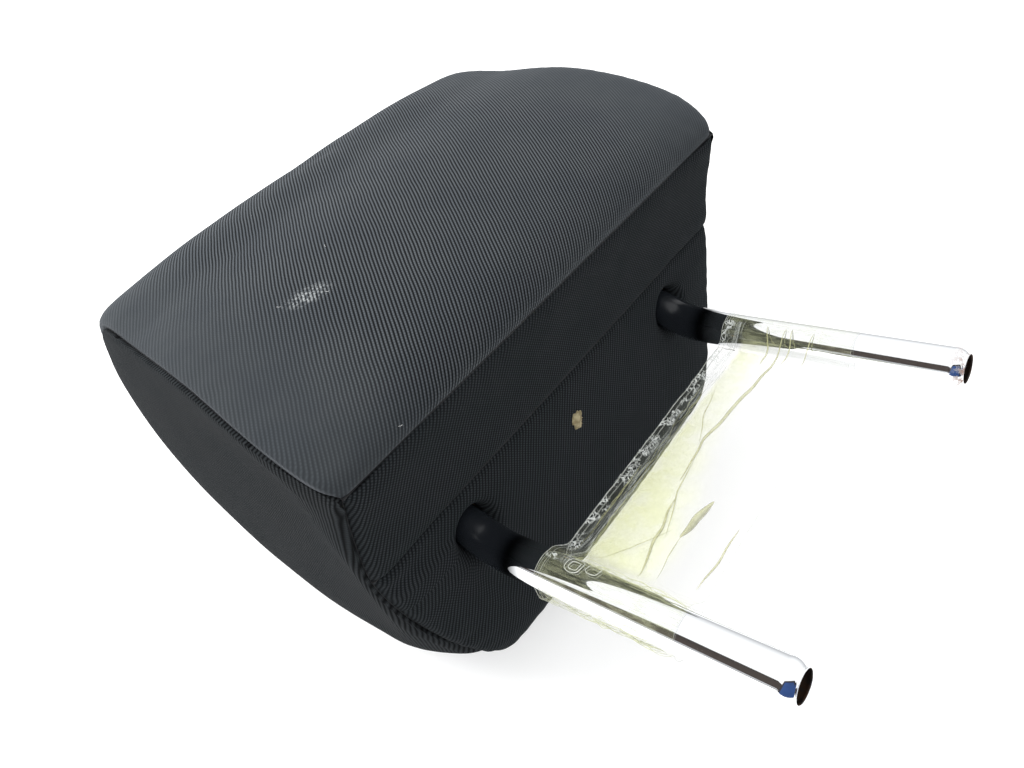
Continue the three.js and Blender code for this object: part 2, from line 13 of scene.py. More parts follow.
import bpy
import numpy as np
from mathutils import Euler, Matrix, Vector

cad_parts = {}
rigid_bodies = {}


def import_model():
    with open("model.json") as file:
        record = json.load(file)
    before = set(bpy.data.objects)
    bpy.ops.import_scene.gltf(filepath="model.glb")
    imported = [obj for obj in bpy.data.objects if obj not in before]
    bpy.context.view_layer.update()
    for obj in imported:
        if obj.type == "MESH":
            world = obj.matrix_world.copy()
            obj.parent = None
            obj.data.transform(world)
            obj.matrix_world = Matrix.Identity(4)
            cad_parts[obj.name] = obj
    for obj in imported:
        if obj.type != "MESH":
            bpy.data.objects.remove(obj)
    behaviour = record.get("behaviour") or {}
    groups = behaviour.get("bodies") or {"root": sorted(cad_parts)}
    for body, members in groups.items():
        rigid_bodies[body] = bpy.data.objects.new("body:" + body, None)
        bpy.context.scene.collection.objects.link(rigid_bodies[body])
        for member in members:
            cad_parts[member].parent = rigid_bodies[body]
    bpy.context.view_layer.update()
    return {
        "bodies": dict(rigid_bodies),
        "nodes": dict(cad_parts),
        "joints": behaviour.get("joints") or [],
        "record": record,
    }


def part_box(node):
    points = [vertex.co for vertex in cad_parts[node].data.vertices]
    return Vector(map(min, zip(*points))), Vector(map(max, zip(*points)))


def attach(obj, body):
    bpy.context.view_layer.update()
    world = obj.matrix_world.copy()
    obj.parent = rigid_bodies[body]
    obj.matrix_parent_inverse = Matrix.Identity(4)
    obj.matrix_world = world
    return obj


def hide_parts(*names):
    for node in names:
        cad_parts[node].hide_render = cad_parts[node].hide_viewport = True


LOG = logging.getLogger("headrest")
BODY = "root"
MM = 0.001
PATTERN = "weave"

Array = np.ndarray
Socket = bpy.types.NodeSocket
Colour = tuple[float, float, float]


def unit(vectors: Array) -> Array:
    """Vectors of length one along the last axis."""
    return vectors / np.maximum(np.linalg.norm(vectors, axis=-1, keepdims=True), 1e-12)


def smooth_step(values: Array, start: float, end: float) -> Array:
    """Rises from 0 at start to 1 at end, level at both: three t squared less two t cubed."""
    t = np.clip((values - start) / (end - start), 0.0, 1.0)
    return t * t * (3.0 - 2.0 * t)


def look_up(table: Array, shares: Array) -> Array:
    """Reads an evenly spaced table of points at any shares.

    Args:
        table: Rows of numbers, the first at share 0 and the last at share 1.
        shares: Places from 0 to 1, in an array of any shape.

    Returns:
        The rows there, mixed linearly from their two neighbours.
    """
    place = np.clip(shares, 0.0, 1.0) * (len(table) - 1)
    below = np.minimum(place.astype(int), len(table) - 2)
    part = (place - below)[..., None]
    return table[below] * (1.0 - part) + table[below + 1] * part


def crowded(count: int, crowding: float) -> Array:
    """Places from -1 to 1 that lie closer together towards both ends.

    Args:
        count: How many places.
        crowding: 0 for even steps, 1 for the steps of a sine.

    Returns:
        The places: a mix of even steps and the sine of even angles.
    """
    even = np.linspace(-1.0, 1.0, count)
    return (1.0 - crowding) * even + crowding * np.sin(even * math.pi / 2.0)


@dataclass(frozen=True)
class Ripple:
    """Uneven waves: a sum of sines whose wavelengths and phases come from a seed.

    Args:
        wavelength: The middle wavelength in millimetres.
        seed: Picks the waves.
        waves: How many sines are added.
    """

    wavelength: float
    seed: int
    waves: int = 7

    def along(self, distance: Array) -> Array:
        """Waves along one length, with a spread of about one."""
        return self.over(distance[..., None], np.ones((1, self.waves)))

    def over(self, points: Array, directions: Array | None = None) -> Array:
        """Waves over points.

        Args:
            points: Places, with their coordinates along the last axis.
            directions: One column for each wave, or None to draw them at random.

        Returns:
            The sum over the waves of sin(2 pi distance / wavelength + phase), with a spread of one.
        """
        draw = np.random.default_rng(self.seed)
        lengths = self.wavelength * draw.uniform(0.6, 1.7, self.waves)
        phases = draw.uniform(0.0, 2.0 * math.pi, self.waves)
        if directions is None:
            directions = unit(draw.normal(size=(self.waves, points.shape[-1]))).T
        total = np.sin(2.0 * math.pi * (points @ directions) / lengths + phases).sum(-1)
        return total / math.sqrt(self.waves / 2.0)


@dataclass(frozen=True)
class StationCurve:
    """A smooth curve through stations, of the centripetal Catmull-Rom kind.

    Args:
        stations: The points that it passes through, one a row.
    """

    stations: Array

    def at(self, shares: Array) -> Array:
        """Points on the curve, where each span between stations takes an equal share.

        Each span is a cubic from one station to the next. Its two end slopes come from the
        neighbouring chords, weighed by the square roots of their lengths.
        """
        points = np.vstack([
            2.0 * self.stations[0] - self.stations[1],
            self.stations,
            2.0 * self.stations[-1] - self.stations[-2],
        ])
        spans = len(self.stations) - 1
        place = np.clip(shares, 0.0, 1.0) * spans
        span = np.minimum(place.astype(int), spans - 1)
        t = (place - span)[..., None]
        step = np.sqrt(np.linalg.norm(np.diff(points, axis=0), axis=1))[:, None]
        before, here, after, beyond = (points[span + k] for k in range(4))
        first, middle, last = (step[span + k] for k in range(3))
        leave = (here - before) / first - (after - before) / (first + middle) + (after - here) / middle
        arrive = (after - here) / middle - (beyond - here) / (middle + last) + (beyond - after) / last
        leave, arrive = leave * middle, arrive * middle
        square = 3.0 * (after - here) - 2.0 * leave - arrive
        cube = 2.0 * (here - after) + leave + arrive
        return here + leave * t + square * t**2 + cube * t**3

    def by_length(self, shares: Array) -> Array:
        """Points on the curve at shares of its length."""
        fine = np.linspace(0.0, 1.0, 4001)
        walked = distance_along(self.at(fine))
        return self.at(np.interp(shares * walked[-1], walked, fine))


def distance_along(points: Array, axis: int = 0) -> Array:
    """Length walked along a line of points, or along each line of a grid."""
    steps = np.linalg.norm(np.diff(points, axis=axis), axis=-1)
    pad = [(0, 0)] * steps.ndim
    pad[axis] = (1, 0)
    return np.cumsum(np.pad(steps, pad), axis=axis)


def grid_normals(points: Array, outward: Array) -> Array:
    """Unit normals of a grid of points.

    Args:
        points: The grid, with rows, columns and coordinates.
        outward: A direction at each point that the normals agree with on the whole.

    Returns:
        The cross product of the steps along the rows and columns, made unit length.
    """
    normals = np.cross(np.gradient(points, axis=0), np.gradient(points, axis=1))
    normals = unit(normals)
    return normals if np.sum(normals * outward) > 0 else -normals


def grid_quads(rows: int, columns: int, closed: bool = False) -> Array:
    """The four corners of each cell of a grid whose points are numbered row by row.

    Args:
        rows: Rows of points.
        columns: Points in a row.
        closed: Whether the last column joins the first.

    Returns:
        One row of four numbers for each cell.
    """
    last = columns if closed else columns - 1
    row, column = np.meshgrid(np.arange(rows - 1), np.arange(last), indexing="ij")
    after = (column + 1) % columns
    corners = [row * columns + column, row * columns + after,
               (row + 1) * columns + after, (row + 1) * columns + column]
    return np.stack(corners, axis=-1).reshape(-1, 4)


def ring_quads(rows: int, columns: int) -> Array:
    """As grid_quads, where the last row joins the first and the last column the first too."""
    return grid_quads(rows + 1, columns, closed=True) % (rows * columns)


def fan(ring: Array, centre: int) -> Array:
    """Triangles from each step of a closed ring of points to one centre point."""
    return np.stack([ring, np.roll(ring, -1), np.full(len(ring), centre)], axis=-1)


@dataclass(frozen=True)
class Lying:
    """How the headrest lies on the table.

    Args:
        tilt: How far the headrest is turned back from upright lying, in radians.
        origin: Where the zero of the headrest's own frame is, in metres.
    """

    tilt: float
    origin: Array

    @classmethod
    def on_ring(cls, tilt: float, ring_middle: Array, ring_node: str) -> "Lying":
        """Finds the place from a hole ring, whose middle is known in both frames."""
        low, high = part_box(ring_node)
        turned = cls(tilt, np.zeros(3)).place(ring_middle)
        return cls(tilt, np.array((low + high) / 2.0) - turned)

    def place(self, points: Array) -> Array:
        """Millimetres in the headrest's own frame to metres in the scene."""
        cosine, sine = math.cos(self.tilt), math.sin(self.tilt)
        x, y, z = np.moveaxis(points, -1, 0)
        return np.stack([x, y * cosine + z * sine, z * cosine - y * sine], axis=-1) * MM + self.origin

    def on_table(self, points: Array) -> Array:
        """As place, with what would reach below the table pressed flat on it."""
        placed = self.place(points)
        placed[..., 2] = np.maximum(placed[..., 2], 0.0)
        return placed


def build_mesh(name: str, vertices: Array, faces: list[Array],
               pattern: Array | None = None) -> bpy.types.Mesh:
    """A mesh from arrays, with smooth faces that point outwards.

    Args:
        name: The mesh's name.
        vertices: Points in metres.
        faces: Groups of faces with as many corners each.
        pattern: Where each vertex lies on the flat cloth, in millimetres, or None.

    Returns:
        The mesh, without the vertices that no face uses.
    """
    used = np.unique(np.concatenate([group.ravel() for group in faces]))
    renumber = np.zeros(len(vertices), dtype=np.int32)
    renumber[used] = np.arange(len(used))
    corners = renumber[np.concatenate([group.ravel() for group in faces])]
    totals = np.concatenate([np.full(len(group), group.shape[1]) for group in faces])
    starts = np.concatenate([[0], np.cumsum(totals)[:-1]]).astype(np.int32)
    mesh = bpy.data.meshes.new(name)
    mesh.vertices.add(len(used))
    mesh.vertices.foreach_set("co", vertices[used].astype(np.float32).ravel())
    mesh.loops.add(len(corners))
    mesh.loops.foreach_set("vertex_index", corners.astype(np.int32))
    mesh.polygons.add(len(totals))
    mesh.polygons.foreach_set("loop_start", starts)
    mesh.polygons.foreach_set("use_smooth", np.ones(len(totals), dtype=bool))
    if pattern is not None:
        layer = mesh.uv_layers.new(name=PATTERN)
        layer.data.foreach_set("uv", pattern[used][corners].astype(np.float32).ravel())
    mesh.update(calc_edges=True)
    mesh.validate()
    return mesh


def link_new(name: str, data: bpy.types.ID) -> bpy.types.Object:
    """A new object in the scene that shows some data."""
    thing = bpy.data.objects.new(name, data)
    bpy.context.scene.collection.objects.link(thing)
    return thing


def keep_values(mesh: bpy.types.Mesh, name: str, values: Array) -> None:
    """Stores one number for each vertex, for a material to read."""
    mesh.attributes.new(name, "FLOAT", "POINT").data.foreach_set("value", values.ravel())


def add_piece(mesh: bpy.types.Mesh, material: bpy.types.Material,
              replaces: tuple[str, ...] = ()) -> bpy.types.Object:
    """Puts a mesh in the scene as a piece that rides on the headrest.

    Args:
        mesh: Its mesh, already in place.
        material: Its finish.
        replaces: The solids that it stands for.

    Returns:
        The new object.
    """
    piece = link_new(mesh.name, mesh)
    mesh.materials.append(material)
    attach(piece, BODY)
    if replaces:
        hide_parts(*replaces)
    LOG.info("%s: %d faces", piece.name, len(mesh.polygons))
    return piece


def give_wall(piece: bpy.types.Object, thickness: float) -> None:
    """Gives a sheet a wall behind its outer face, with a closed rim.

    Args:
        piece: The sheet, with its faces pointing outwards.
        thickness: The wall in millimetres.
    """
    wall = piece.modifiers.new("wall", "SOLIDIFY")
    wall.thickness = thickness * MM
    wall.offset = -1.0


class HeadForm:
    """The padded head: a panel over the front, top and back, two sides and an underside.

    The outlines hold shares of the head's sizes: half width, height and depth. A depth share
    above zero is of front_reach, and one below zero of rear_reach.
    """

    half_width = 106.0
    height = 149.0
    front_reach = 95.0
    rear_reach = 54.0
    gusset_half_width = 104.0
    gusset_fullness = 4.6
    gusset_middle = (71.5, 20.0)
    bottom_crown = 1.0
    rear_sag = 8.0
    rear_sag_power = 4.0
    crown_roundness = 0.64
    closure_share = 1.0 / 3.0
    samples = 2401

    side_outline = (
        (0.967, -0.08, 0.684), (1.0, 0.055, 0.83), (0.976, 0.295, 0.965), (0.943, 0.523, 1.0),
        (0.906, 0.738, 0.988), (0.877, 0.913, 0.81), (0.84, 1.0, 0.547), (0.811, 0.987, 0.21),
        (0.774, 0.866, -0.2), (0.783, 0.671, -0.611), (0.736, 0.336, -1.0), (0.679, 0.04, -1.0),
    )
    bottom_outline = (
        (0.967, -0.08, 0.684), (0.981, -0.027, 0.432), (0.986, 0.0, 0.253), (0.962, 0.01, 0.053),
        (0.906, 0.02, -0.296), (0.849, 0.027, -0.556), (0.764, 0.034, -0.833), (0.679, 0.04, -1.0),
    )
    closure_station = 2
    crowns = ((0.0, 0.0), (0.05, 7.0), (0.25, 5.6), (0.345, 11.0), (0.42, 7.7), (0.53, 6.6), (0.64, 9.0),
              (0.94, 9.0), (1.0, 4.5))

    def __init__(self) -> None:
        """Works out the tables of the two outlines and their normals."""
        shares = np.linspace(0.0, 1.0, self.samples)
        self.side_line = StationCurve(self._reached(self.side_outline)).by_length(shares)
        stations = len(self.bottom_outline) - 1
        closure = self.closure_station / stations
        place = np.interp(shares, (0.0, self.closure_share, 1.0), (0.0, closure, 1.0))
        self.bottom_line = StationCurve(self._reached(self.bottom_outline)).at(place)
        self.side_normal = self._normals(self.side_line)
        self.bottom_normal = -self._normals(self.bottom_line)
        self.front_corner = unit(self.side_normal[0] + self.bottom_normal[0])
        self.rear_corner = unit(self.side_normal[-1] + self.bottom_normal[-1])
        self.closure_out = look_up(self.bottom_normal, np.array(self.closure_share))
        self.centre = np.array([0.0, self.gusset_middle[0], self.gusset_middle[1]])

    def _reached(self, outline: tuple) -> Array:
        """An outline's shares as millimetres."""
        width, up, front = np.array(outline).T
        depth = np.where(front >= 0.0, front * self.front_reach, front * self.rear_reach)
        return np.stack([width * self.half_width, up * self.height, depth], axis=-1)

    @staticmethod
    def _normals(line: Array) -> Array:
        """Normals of a line that goes round the head from front to back, square to x."""
        step = np.gradient(line, axis=0)
        normals = np.stack([np.zeros(len(line)), -step[:, 2], step[:, 1]], axis=-1)
        return unit(normals)

    def fullness(self, across: Array) -> Array:
        """How full a panel is across its width: (1 - across squared) to a power below one."""
        return np.maximum(0.0, 1.0 - across**2) ** (self.crown_roundness / 2.0)

    def crown(self, shares: Array) -> Array:
        """How far the main panel stands proud: smooth steps between the crowns' stations."""
        at, proud = np.array(self.crowns).T
        total = proud[1] * np.sin(np.clip(shares / at[1], 0.0, 1.0) * math.pi / 2.0)
        for k in range(1, len(at) - 1):
            total = total + (proud[k + 1] - proud[k]) * smooth_step(shares, at[k], at[k + 1])
        return total

    def main_surface(self, shares: Array, across: Array) -> Array:
        """The panel over the front, top and back.

        A point is the side outline at its share, brought in by across, and moved along the
        outline's normal by the crown times the fullness.

        Args:
            shares: Shares of the side outline's length, from the front seam to the rear one.
            across: Places across the head, from -1 to 1.

        Returns:
            Points in the headrest's own frame.
        """
        edge = look_up(self.side_line, shares)
        proud = (self.crown(shares) * self.fullness(across))[..., None]
        points = edge + proud * look_up(self.side_normal, shares)
        points[..., 0] = across * edge[..., 0]
        return points

    def bottom_surface(self, shares: Array, across: Array) -> Array:
        """The underside: its outline brought in by across, sagging by sines of the share.

        A high power of the share inside the second sine puts its sag near the rear seam. Towards
        the rear the surface is pulled, by the share squared, on to the main panel's rear edge.

        Args:
            shares: From the front seam at 0 over the closure seam at a third to the rear at 1.
            across: Places across the head, from -1 to 1.

        Returns:
            Points in the headrest's own frame.
        """
        edge = look_up(self.bottom_line, shares)
        rear = self.main_surface(np.ones_like(across), across) - self.side_line[-1]
        points = edge + (shares**2)[..., None] * rear
        sag = self.bottom_crown * np.sin(math.pi * shares)
        sag = sag + self.rear_sag * np.sin(math.pi * shares**self.rear_sag_power)
        points[..., 1] -= sag * self.fullness(across)
        points[..., 0] = across * edge[..., 0]
        return points

    def rim(self, turn: Array) -> Array:
        """The seam round a side: the side outline for turns 0 to 1, the bottom back for 1 to 2."""
        turn = np.mod(turn, 2.0)
        up = look_up(self.side_line, turn)
        back = look_up(self.bottom_line, 2.0 - turn)
        return np.where((turn <= 1.0)[..., None], up, back)

    def rim_normal(self, turn: Array) -> Array:
        """Normals of the seam round a side, square to x, with its corners rounded off."""
        fine = np.linspace(0.0, 2.0, 1201)[:-1]
        normals = np.where((fine <= 1.0)[:, None], look_up(self.side_normal, fine),
                           look_up(self.bottom_normal, 2.0 - fine))
        near = np.exp(-0.5 * (np.arange(-12, 13) / 4.0) ** 2)
        mixed = sum(weight * np.roll(normals, k - 12, axis=0) for k, weight in enumerate(near))
        closed = np.vstack([mixed, mixed[:1]])
        return unit(look_up(closed, np.mod(turn, 2.0) / 2.0))

    def gusset_surface(self, side: float, turn: Array, reach: Array) -> Array:
        """One side: rings that shrink from the seam to a middle, which stands proud.

        Height and depth go straight from the middle to the rim by the reach, and the width
        by the reach to a power, so that the side is flat in the middle and round at its rim.

        Args:
            side: 1 for the headrest's left, -1 for its right.
            turn: Where round the seam, from 0 to 2.
            reach: 1 at the seam and 0 in the middle.

        Returns:
            Points in the headrest's own frame.
        """
        rim = self.rim(turn)
        middle = np.array([self.gusset_half_width, *self.gusset_middle])
        points = middle + (rim - middle) * reach[..., None]
        points[..., 0] = middle[0] + (rim[..., 0] - middle[0]) * reach**self.gusset_fullness
        points[..., 0] *= side
        return points

    def even_turns(self, count: int) -> Array:
        """Turns round a side at even steps of the seam's length, from 0 up to 2."""
        fine = np.linspace(0.0, 2.0, 4001)
        walked = distance_along(self.rim(fine[:-1]))
        walked = np.append(walked, walked[-1] + 0.1)
        return np.interp(np.linspace(0.0, walked[-1], count, endpoint=False), walked, fine)


@dataclass(frozen=True)
class Padding:
    """The give of the foam under the cover, from a cloth simulation of the whole cover.

    Args:
        pressure: What presses the cover out.
        frames: How long it runs.
        cap: How far a point may move, in millimetres.
        rows: Steps over the front, top and back.
        columns: Steps across.
        bottom_rows: Steps of the underside.
        rings: Rings of each side.
    """

    pressure: float = 4.0
    frames: int = 20
    cap: float = 1.6
    rows: int = 84
    columns: int = 36
    bottom_rows: int = 24
    rings: int = 14

    def swell(self, form: HeadForm) -> dict[str, "Swelling"]:
        """Runs the simulation and returns how far each panel's grid of points has moved."""
        shares = np.linspace(0.0, 1.0, self.rows + 1)
        bottom = np.linspace(0.0, 1.0, self.bottom_rows + 1)
        across = crowded(self.columns + 1, 0.6)
        turns = np.concatenate([shares, 2.0 - bottom[1:-1][::-1]])
        reach = np.sin(np.linspace(1.0, 0.08, self.rings) * math.pi / 2.0)
        grids = {
            "main": (shares, across, form.main_surface(*np.meshgrid(shares, across, indexing="ij"))),
            "bottom": (bottom, across, form.bottom_surface(*np.meshgrid(bottom, across, indexing="ij"))),
        }
        for name, side in (("left", 1.0), ("right", -1.0)):
            ring, turn = np.meshgrid(reach, turns, indexing="ij")
            grids[name] = (reach, turns, form.gusset_surface(side, turn, ring))
        moved = self._simulate(grids, form)
        return {name: Swelling(rows, columns, moved[name]) for name, (rows, columns, _) in grids.items()}

    def _simulate(self, grids: dict, form: HeadForm) -> dict[str, Array]:
        """Sews the grids into one closed cover, blows it up a little and reads its points."""
        stacked = np.vstack([grid.reshape(-1, 3) for _, _, grid in grids.values()])
        faces, pinned, first = [], [], 0
        for name, (_, _, grid) in grids.items():
            rows, columns = grid.shape[:2]
            is_side = name in ("left", "right")
            quads = grid_quads(rows, columns, closed=is_side) + first
            faces.append(quads if name in ("main", "left") else quads[:, ::-1])
            edge = np.zeros((rows, columns), dtype=bool)
            edge[0] = True
            if not is_side:
                edge[-1] = True
                edge[:, 0] = edge[:, -1] = True
            if name == "bottom":
                edge[rows // 3] = True
            pinned.append(edge.ravel())
            first += rows * columns
        _, keep, joined = np.unique(np.round(stacked, 2), axis=0, return_index=True, return_inverse=True)
        joined = joined.ravel()
        before = stacked[keep] * MM
        mesh = build_mesh("padding", before, [joined[np.vstack(faces)]])
        cover = link_new("padding", mesh)
        pins = np.zeros(len(before), dtype=bool)
        np.logical_or.at(pins, joined, np.concatenate(pinned))
        after = self._run(cover, pins)
        moved = (after - before) / MM
        length = np.linalg.norm(moved, axis=1, keepdims=True)
        moved *= self.cap / (self.cap + length)
        bpy.data.objects.remove(cover)
        LOG.info("padding moved by up to %.2f mm", float(np.linalg.norm(moved, axis=1).max()))
        result, first = {}, 0
        for name, (_, _, grid) in grids.items():
            count = grid.shape[0] * grid.shape[1]
            result[name] = moved[joined[first:first + count]].reshape(grid.shape)
            first += count
        return result

    def _run(self, cover: bpy.types.Object, pins: Array) -> Array:
        """Steps the cloth simulation and returns where the cover's points end, in metres."""
        group = cover.vertex_groups.new(name="seams")
        group.add(np.flatnonzero(pins).tolist(), 1.0, "REPLACE")
        cloth = cover.modifiers.new("padding", "CLOTH")
        cloth.settings.vertex_group_mass = group.name
        cloth.settings.use_pressure = True
        cloth.settings.uniform_pressure_force = self.pressure
        cloth.settings.effector_weights.gravity = 0.0
        cloth.settings.bending_stiffness = 0.8
        cloth.point_cache.frame_start = 1
        cloth.point_cache.frame_end = self.frames
        scene = bpy.context.scene
        for frame in range(1, self.frames + 1):
            scene.frame_set(frame)
        settled = cover.evaluated_get(bpy.context.evaluated_depsgraph_get())
        points = np.empty(len(settled.data.vertices) * 3, dtype=np.float32)
        settled.data.vertices.foreach_get("co", points)
        cover.modifiers.remove(cloth)
        scene.frame_set(1)
        return points.reshape(-1, 3).astype(float)


@dataclass(frozen=True)
class Swelling:
    """How far a coarse grid of points moved.

    Args:
        rows: The parameter of each row, rising or falling.
        columns: The parameter of each column, rising.
        moved: The moves in millimetres.
    """

    rows: Array
    columns: Array
    moved: Array

    def at(self, row: Array, column: Array) -> Array:
        """The moves at any parameters, mixed from the four nearest points of the grid."""
        rows, moved = self.rows, self.moved
        if rows[0] > rows[-1]:
            rows, moved = rows[::-1], moved[::-1]
        i = np.interp(row, rows, np.arange(len(rows)))
        j = np.interp(column, self.columns, np.arange(len(self.columns)))
        a, b = np.minimum(i.astype(int), len(rows) - 2), np.minimum(j.astype(int), len(self.columns) - 2)
        u, v = (i - a)[..., None], (j - b)[..., None]
        low = moved[a, b] * (1.0 - v) + moved[a, b + 1] * v
        high = moved[a + 1, b] * (1.0 - v) + moved[a + 1, b + 1] * v
        return low * (1.0 - u) + high * u


@dataclass
class Seam:
    """One border of a panel, where it is sewn down.

    Args:
        distance: How far each point of the panel is from it, in millimetres.
        along: How far along the seam each point lies, in millimetres.
        inward: Unit directions into the head at each point's place on the seam.
        depth: How far the seam lies below the panels, in millimetres.
        shoulder: How far the panel rolls up beside it, in millimetres.
        reach: How far from the seam the roll is highest, in millimetres.
        pucker: How strongly the cloth puckers beside it, in millimetres.
        width: How wide its groove is, in millimetres.
    """

    distance: Array
    along: Array
    inward: Array
    depth: Array
    shoulder: float | Array
    reach: float
    pucker: float
    width: float | Array = 1.7


@dataclass
class Cover:
    """The sewn fabric cover with its seams, puckers, stitches and post holes.

    Args:
        form: The head's shape.
        lying: How it lies.
        finishes: Its materials by name.
    """

    form: HeadForm
    lying: Lying
    finishes: dict[str, bpy.types.Material]
    thickness: float = 1.6
    side_depth: float = 0.7
    under_depth: float = 1.9
    row_depth: float = 0.7
    pucker_reach: float = 4.0
    unevenness: float = 0.12
    hole_radius: float = 7.05
    hole_depth: float = 5.2
    hole_rounding: float = 6.5
    thread_radius: float = 0.45
    stitch_pitch: float = 3.0
    swellings: dict[str, Swelling] = field(default_factory=dict)
    front: Array | None = None
    front_normals: Array | None = None

    def build(self, hole_places: tuple[tuple[float, float], ...]) -> None:
        """Makes all panels, seam threads and stitches.

        Args:
            hole_places: Where each post leaves the underside: across and to the front.
        """
        self.swellings = Padding().swell(self.form)
        self.main_panel()
        self.gusset("left_side", 1.0)
        self.gusset("right_side", -1.0)
        self.front_strip()
        self.bottom_panel(hole_places)
        self.seam_threads()
        self.closure_stitches()

    def _swelling(self, panel: str, row: Array, column: Array) -> Array | float:
        """The padding's moves of a panel, or none while trying things out."""
        return self.swellings[panel].at(row, column) if panel in self.swellings else 0.0

    def _dressed(self, points: Array, seams: list[Seam], seed: int) -> tuple[Array, Array]:
        """Adds foam unevenness, puckers and sewn-down borders to a panel.

        Each point moves along its normal by slow waves of the foam, by each seam's roll, and by
        puckers, which are waves along the seam. A roll and a pucker rise and fade with the
        distance d from the seam as d times exp(1 - d), with d in units of their reach. Then each
        seam draws the cloth inwards by a bell curve of the distance.

        Args:
            points: The panel's grid.
            seams: Its borders.
            seed: Picks the waves.

        Returns:
            The new points and their normals.
        """
        normals = grid_normals(points, points - self.form.centre)
        nearest = np.min([seam.distance for seam in seams], axis=0)
        foam = Ripple(62.0, seed).over(points) + 0.35 * Ripple(24.0, seed + 1).over(points)
        push = self.unevenness * foam * smooth_step(nearest, 2.0, 22.0)
        for number, seam in enumerate(seams):
            near, far = seam.distance / self.pucker_reach, seam.distance / seam.reach
            waves = Ripple(8.0, seed + 11 * (number + 1)).along(seam.along)
            push = push + seam.pucker * waves * near * np.exp(1.0 - near)
            push = push + seam.shoulder * far * np.exp(1.0 - far)
        points = points + push[..., None] * normals
        total, weight, keep = 0.0, 0.0, 1.0
        for seam in seams:
            pull = np.exp(-((seam.distance / seam.width) ** 2))
            total = total + (pull * seam.depth)[..., None] * seam.inward
            weight = weight + pull
            keep = keep * (1.0 - pull)
        points = points + total / np.maximum(weight, 1e-9)[..., None] * (1.0 - keep)[..., None]
        return points, grid_normals(points, points - self.form.centre)

    def _row_inward(self, outward: Array, across: Array) -> Array:
        """Inward directions of a seam that runs across, which turn in towards its two ends."""
        sideways = -0.6 * np.sign(across) * np.abs(across) ** 9
        inward = np.stack(np.broadcast_arrays(sideways, -outward[1], -outward[2]), axis=-1)
        return unit(inward)

    def _rim_depth(self, turn: Array) -> Array:
        """Depth of the seam round a side: shallow beside the main panel, deep beside the underside."""
        turn = np.mod(turn, 2.0)
        under = smooth_step(turn, 0.98, 1.05) * (1.0 - smooth_step(turn, 1.96, 2.0))
        corner = np.exp(-((np.minimum(turn, 2.0 - turn) / 0.012) ** 2))
        return self.side_depth + (self.under_depth - self.side_depth) * np.maximum(under, 0.5 * corner)

    def _row_seam(self, outward: Array, distance: Array, over: Array, across: Array, shoulder: float,
                  pucker: float, reach: float = 6.0) -> Seam:
        """A seam that runs across, which gets as deep as the side seams at its two ends."""
        corner = (self.side_depth + self.under_depth) / 2.0
        depth = self.row_depth + (corner - self.row_depth) * np.abs(across) ** 12
        inward = self._row_inward(outward, across)
        return Seam(distance, over, inward, depth, shoulder, reach, pucker, width=1.3)

    def _rim_inward(self, turn: Array, side: float) -> Array:
        """Inward directions of the seam round a side."""
        inward = -self.form.rim_normal(turn)
        inward[..., 0] = -0.6 * side
        return unit(inward)

    def main_panel(self) -> None:
        """The ribbed panel over the front, the top and down the back, in one piece."""
        shares, across = np.meshgrid(
            0.5 + 0.5 * crowded(230, 0.5), crowded(124, 0.62), indexing="ij")
        points = self.form.main_surface(shares, across)
        points = points + self._swelling("main", shares, across)
        down = distance_along(points, axis=0)
        over = distance_along(points, axis=1)
        width = over[:, -1:]
        depth = self._rim_depth(shares)
        roll = 0.8 - 1.1 * smooth_step(shares, 0.42, 0.55)
        seams = [
            Seam(over, down, self._rim_inward(shares, -1.0), depth,
                 shoulder=roll, reach=5.0, pucker=0.04, width=1.3),
            Seam(width - over, down, self._rim_inward(shares, 1.0), depth,
                 shoulder=roll, reach=5.0, pucker=0.04, width=1.3),
            self._row_seam(self.form.front_corner, down, over, across[0],
                           shoulder=1.9, pucker=0.05, reach=7.0),
            self._row_seam(self.form.rear_corner, down[-1:] - down, over, across[0],
                           shoulder=1.0, pucker=0.1),
        ]
        points, normals = self._dressed(points, seams, 3)
        self.front, self.front_normals = points.reshape(-1, 3), normals.reshape(-1, 3)
        pattern = np.stack([over - width / 2.0, down], axis=-1)
        self._sheet("front_and_back_panel", points, normals, pattern, "front_twill",
                    ("main_cover_panel",))

    def gusset(self, name: str, side: float) -> None:
        """One side panel, as rings round its middle."""
        turns = self.form.even_turns(340)
        reach = np.sin(np.linspace(1.0, 0.0, 60, endpoint=False) * math.pi / 2.0)
        reach, turn = np.meshgrid(reach, turns, indexing="ij")
        points = self.form.gusset_surface(side, turn, reach)
        points = points + self._swelling("left" if side > 0 else "right", reach, turn)
        inwards = distance_along(points, axis=0)
        along = np.broadcast_to(distance_along(points[0])[None], reach.shape)
        depth = self._rim_depth(turn)
        seam = Seam(inwards, along, self._rim_inward(turn, side), depth,
                    shoulder=0.5, reach=8.0, pucker=0.02, width=0.8 + 0.9 * depth)
        points, normals = self._dressed(points, [seam], 31 if side > 0 else 47)
        middle = points[-1].mean(axis=0)
        spokes = points[..., [2, 1]] - middle[[2, 1]]
        walked = inwards[-1:] - inwards + np.hypot(spokes[-1:, :, 0], spokes[-1:, :, 1])
        pattern = middle[[2, 1]] + unit(spokes) * walked[..., None]
        vertices = np.vstack([points.reshape(-1, 3), middle])
        flat = np.vstack([pattern.reshape(-1, 2), middle[[2, 1]]])
        rows, columns = reach.shape
        ring = (rows - 1) * columns + np.arange(columns)
        quads, cap = grid_quads(rows, columns, closed=True), fan(ring, rows * columns)
        if side < 0:
            quads, cap = quads[:, ::-1], cap[:, ::-1]
        mesh = build_mesh(f"{name}_panel", self.lying.on_table(vertices), [quads, cap], flat)
        piece = add_piece(mesh, self.finishes["side_twill"], (f"{name}_gusset",))
